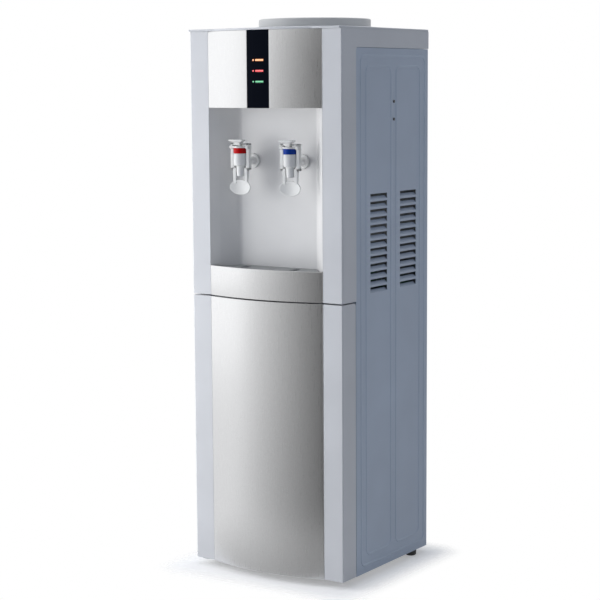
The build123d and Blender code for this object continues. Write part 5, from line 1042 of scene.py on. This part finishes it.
DARK_REFLECTION_LEFT, DARK_REFLECTION_RIGHT = -0.45, 0.18
DARK_REFLECTION_HIGH, DARK_REFLECTION_LOW = 0.97, 0.08
# The lying sheet's glow, brighter at the left, is a painted reflection of a greyer floor at the silver's
# foot.
FLOOR_REFLECTION_CORNERS = [(-1.7, -1.6, 0.001), (0.5, -1.6, 0.001), (0.5, -0.17, 0.001), (-1.7, -0.17, 0.001)]
FLOOR_REFLECTION_LEFT, FLOOR_REFLECTION_RIGHT = -0.35, 0.1
FLOOR_REFLECTION_HIGH, FLOOR_REFLECTION_LOW = 0.95, 0.34


def seen_directly(tree):
    """One for the camera, reflections and views through clear matter, nought for scattered light."""
    path = tree.nodes.new("ShaderNodeLightPath")
    total = path.outputs["Is Camera Ray"]
    for ray in ("Is Glossy Ray", "Is Transmission Ray"):
        either = tree.nodes.new("ShaderNodeMath")
        either.operation = "MAXIMUM"
        tree.links.new(total, either.inputs[0])
        tree.links.new(path.outputs[ray], either.inputs[1])
        total = either.outputs["Value"]
    return total


def either_colour(tree, factor, first, second):
    """The first colour at factor nought and the second at one."""
    mix = tree.nodes.new("ShaderNodeMix")
    mix.data_type = "RGBA"
    colours = [socket for socket in mix.inputs if socket.type == "RGBA"]
    colours[0].default_value = (*first, 1)
    colours[1].default_value = (*second, 1)
    tree.links.new(factor, mix.inputs["Factor"])
    return next(socket for socket in mix.outputs if socket.type == "RGBA")


def floor_material():
    """Matt white under the object, clear further out, where the white room shows: its share falls off with
    the distance from the object's plan, a square."""
    material, shader = finish(
        "studio_floor", Roughness=1.0, Specular_IOR_Level=0.0, Emission_Color=WHITE_GLOW
    )
    tree = shader.id_data
    seen = seen_directly(tree)
    tree.links.new(either_colour(tree, seen, FLOOR_BOUNCE, FLOOR_WHITE), shader.inputs["Base Color"])
    glow = tree.nodes.new("ShaderNodeMath")
    glow.operation = "MULTIPLY"
    glow.inputs[1].default_value = FLOOR_GLOW
    tree.links.new(seen, glow.inputs[0])
    tree.links.new(glow.outputs["Value"], shader.inputs["Emission Strength"])
    flow = tree.nodes.new("ShaderNodeTexCoord").outputs["Object"]
    half = cad_box[1].x
    steps = (("ABSOLUTE", None), ("SUBTRACT", (half, half, 0)), ("MAXIMUM", (0, 0, 0)), ("LENGTH", None))
    for operation, value in steps:
        step = tree.nodes.new("ShaderNodeVectorMath")
        step.operation = operation
        if value:
            step.inputs[1].default_value = value
        tree.links.new(flow, step.inputs[0])
        flow = step.outputs["Value" if operation == "LENGTH" else "Vector"]
    fade = tree.nodes.new("ShaderNodeMapRange")
    fade.interpolation_type = "SMOOTHSTEP"
    fade.inputs["From Max"].default_value = FLOOR_REACH
    fade.inputs["To Min"].default_value = 1
    fade.inputs["To Max"].default_value = 0
    tree.links.new(flow, fade.inputs["Value"])
    unseen = tree.nodes.new("ShaderNodeMath")
    unseen.operation = "SUBTRACT"
    unseen.inputs[0].default_value = 1
    tree.links.new(seen, unseen.inputs[1])
    solid = tree.nodes.new("ShaderNodeMath")
    solid.operation = "MAXIMUM"
    tree.links.new(fade.outputs["Result"], solid.inputs[0])
    tree.links.new(unseen.outputs["Value"], solid.inputs[1])
    tree.links.new(solid.outputs["Value"], shader.inputs["Alpha"])
    return material


def reflection_glow_material(name, from_x, to_x, dark, bright):
    """A painted reflection: a glow that goes from dark to bright between two places along X."""
    material, shader = finish(name, Base_Color=CARD_PAINT, Specular_IOR_Level=0.0, Emission_Color=WHITE_GLOW)
    tree = shader.id_data
    apart = tree.nodes.new("ShaderNodeSeparateXYZ")
    tree.links.new(tree.nodes.new("ShaderNodeTexCoord").outputs["Object"], apart.inputs["Vector"])
    fade = tree.nodes.new("ShaderNodeMapRange")
    fade.inputs["From Min"].default_value = from_x
    fade.inputs["From Max"].default_value = to_x
    fade.inputs["To Min"].default_value = dark
    fade.inputs["To Max"].default_value = bright
    tree.links.new(apart.outputs["X"], fade.inputs["Value"])
    tree.links.new(fade.outputs["Result"], shader.inputs["Emission Strength"])
    return material


def stage_sheet(name, corners, material):
    """A flat four-cornered piece of the studio."""
    data = bpy.data.meshes.new(name)
    data.from_pydata(corners, [], [(0, 1, 2, 3)])
    data.materials.append(material)
    made = bpy.data.objects.new(name, data)
    bpy.context.scene.collection.objects.link(made)
    return made


def soft_light(name, place, size, power):
    """A rectangular soft light that faces the object."""
    data = bpy.data.lights.new(name, "AREA")
    data.shape = "RECTANGLE"
    data.size, data.size_y = size
    data.energy = power
    made = bpy.data.objects.new(name, data)
    way = Vector(AIM) - Vector(place)
    made.matrix_world = Matrix.Translation(place) @ way.to_track_quat("-Z", "Y").to_matrix().to_4x4()
    bpy.context.scene.collection.objects.link(made)
    return made


floor_corners = [(x * FLOOR_HALF, y * FLOOR_HALF, 0) for x, y in ((-1, -1), (1, -1), (1, 1), (-1, 1))]
stage_sheet("studio_floor", floor_corners, floor_material())
dark_reflection_glow = reflection_glow_material("dark_reflection_card", DARK_REFLECTION_RIGHT, DARK_REFLECTION_LEFT, DARK_REFLECTION_LOW, DARK_REFLECTION_HIGH)
floor_reflection_glow = reflection_glow_material("floor_reflection_card", FLOOR_REFLECTION_RIGHT, FLOOR_REFLECTION_LEFT, FLOOR_REFLECTION_LOW, FLOOR_REFLECTION_HIGH)
cards = [
    stage_sheet("dark_reflection_card", DARK_REFLECTION_CORNERS, dark_reflection_glow),
    stage_sheet("floor_reflection_card", FLOOR_REFLECTION_CORNERS, floor_reflection_glow),
]
# The glowing sheets are hidden from the camera, scattered light and shadows: they only paint reflections.
for card in cards:
    card.visible_camera = card.visible_diffuse = card.visible_shadow = card.visible_transmission = False
key = soft_light("key_light", KEY_PLACE, KEY_SIZE, KEY_POWER)
key.visible_glossy = False
soft_light("scrim_light", SCRIM_PLACE, SCRIM_SIZE, SCRIM_POWER)
soft_light("overhead_light", TOP_PLACE, TOP_SIZE, TOP_POWER)
world = bpy.data.worlds.new("white_room")
world.use_nodes = True
room = world.node_tree
room_colour = either_colour(room, seen_directly(room), ROOM_FILL, ROOM_WHITE)
room.links.new(room_colour, room.nodes["Background"].inputs["Color"])
bpy.context.scene.world = world


# Camera: a long lens from the front right, at the height of the fascia, tipped down a little and rolled by a
# fraction of a degree as in the photograph.
CAMERA_PLACE = (1.650617, -2.528372, 0.853318)
CAMERA_YAW = math.radians(33.449)
CAMERA_PITCH = math.radians(7.165)
CAMERA_ROLL = math.radians(-0.35)
FOCAL_PIXELS = 1707.121
IMAGE_PIXELS = 600
SENSOR = 36.0

forward = Vector((
    -math.sin(CAMERA_YAW) * math.cos(CAMERA_PITCH),
    math.cos(CAMERA_YAW) * math.cos(CAMERA_PITCH),
    -math.sin(CAMERA_PITCH),
))
level = Vector((math.cos(CAMERA_YAW), math.sin(CAMERA_YAW), 0))
right = level * math.cos(CAMERA_ROLL) + level.cross(forward) * math.sin(CAMERA_ROLL)
up = right.cross(forward)
lens = bpy.data.cameras.new("photo_camera")
lens.sensor_width = SENSOR
lens.lens = FOCAL_PIXELS * SENSOR / IMAGE_PIXELS
camera = bpy.data.objects.new("photo_camera", lens)
camera.matrix_world = Matrix.Translation(CAMERA_PLACE) @ Matrix((right, up, -forward)).transposed().to_4x4()
bpy.context.scene.collection.objects.link(camera)
bpy.context.scene.camera = camera
bpy.context.scene.view_settings.view_transform = "Standard"
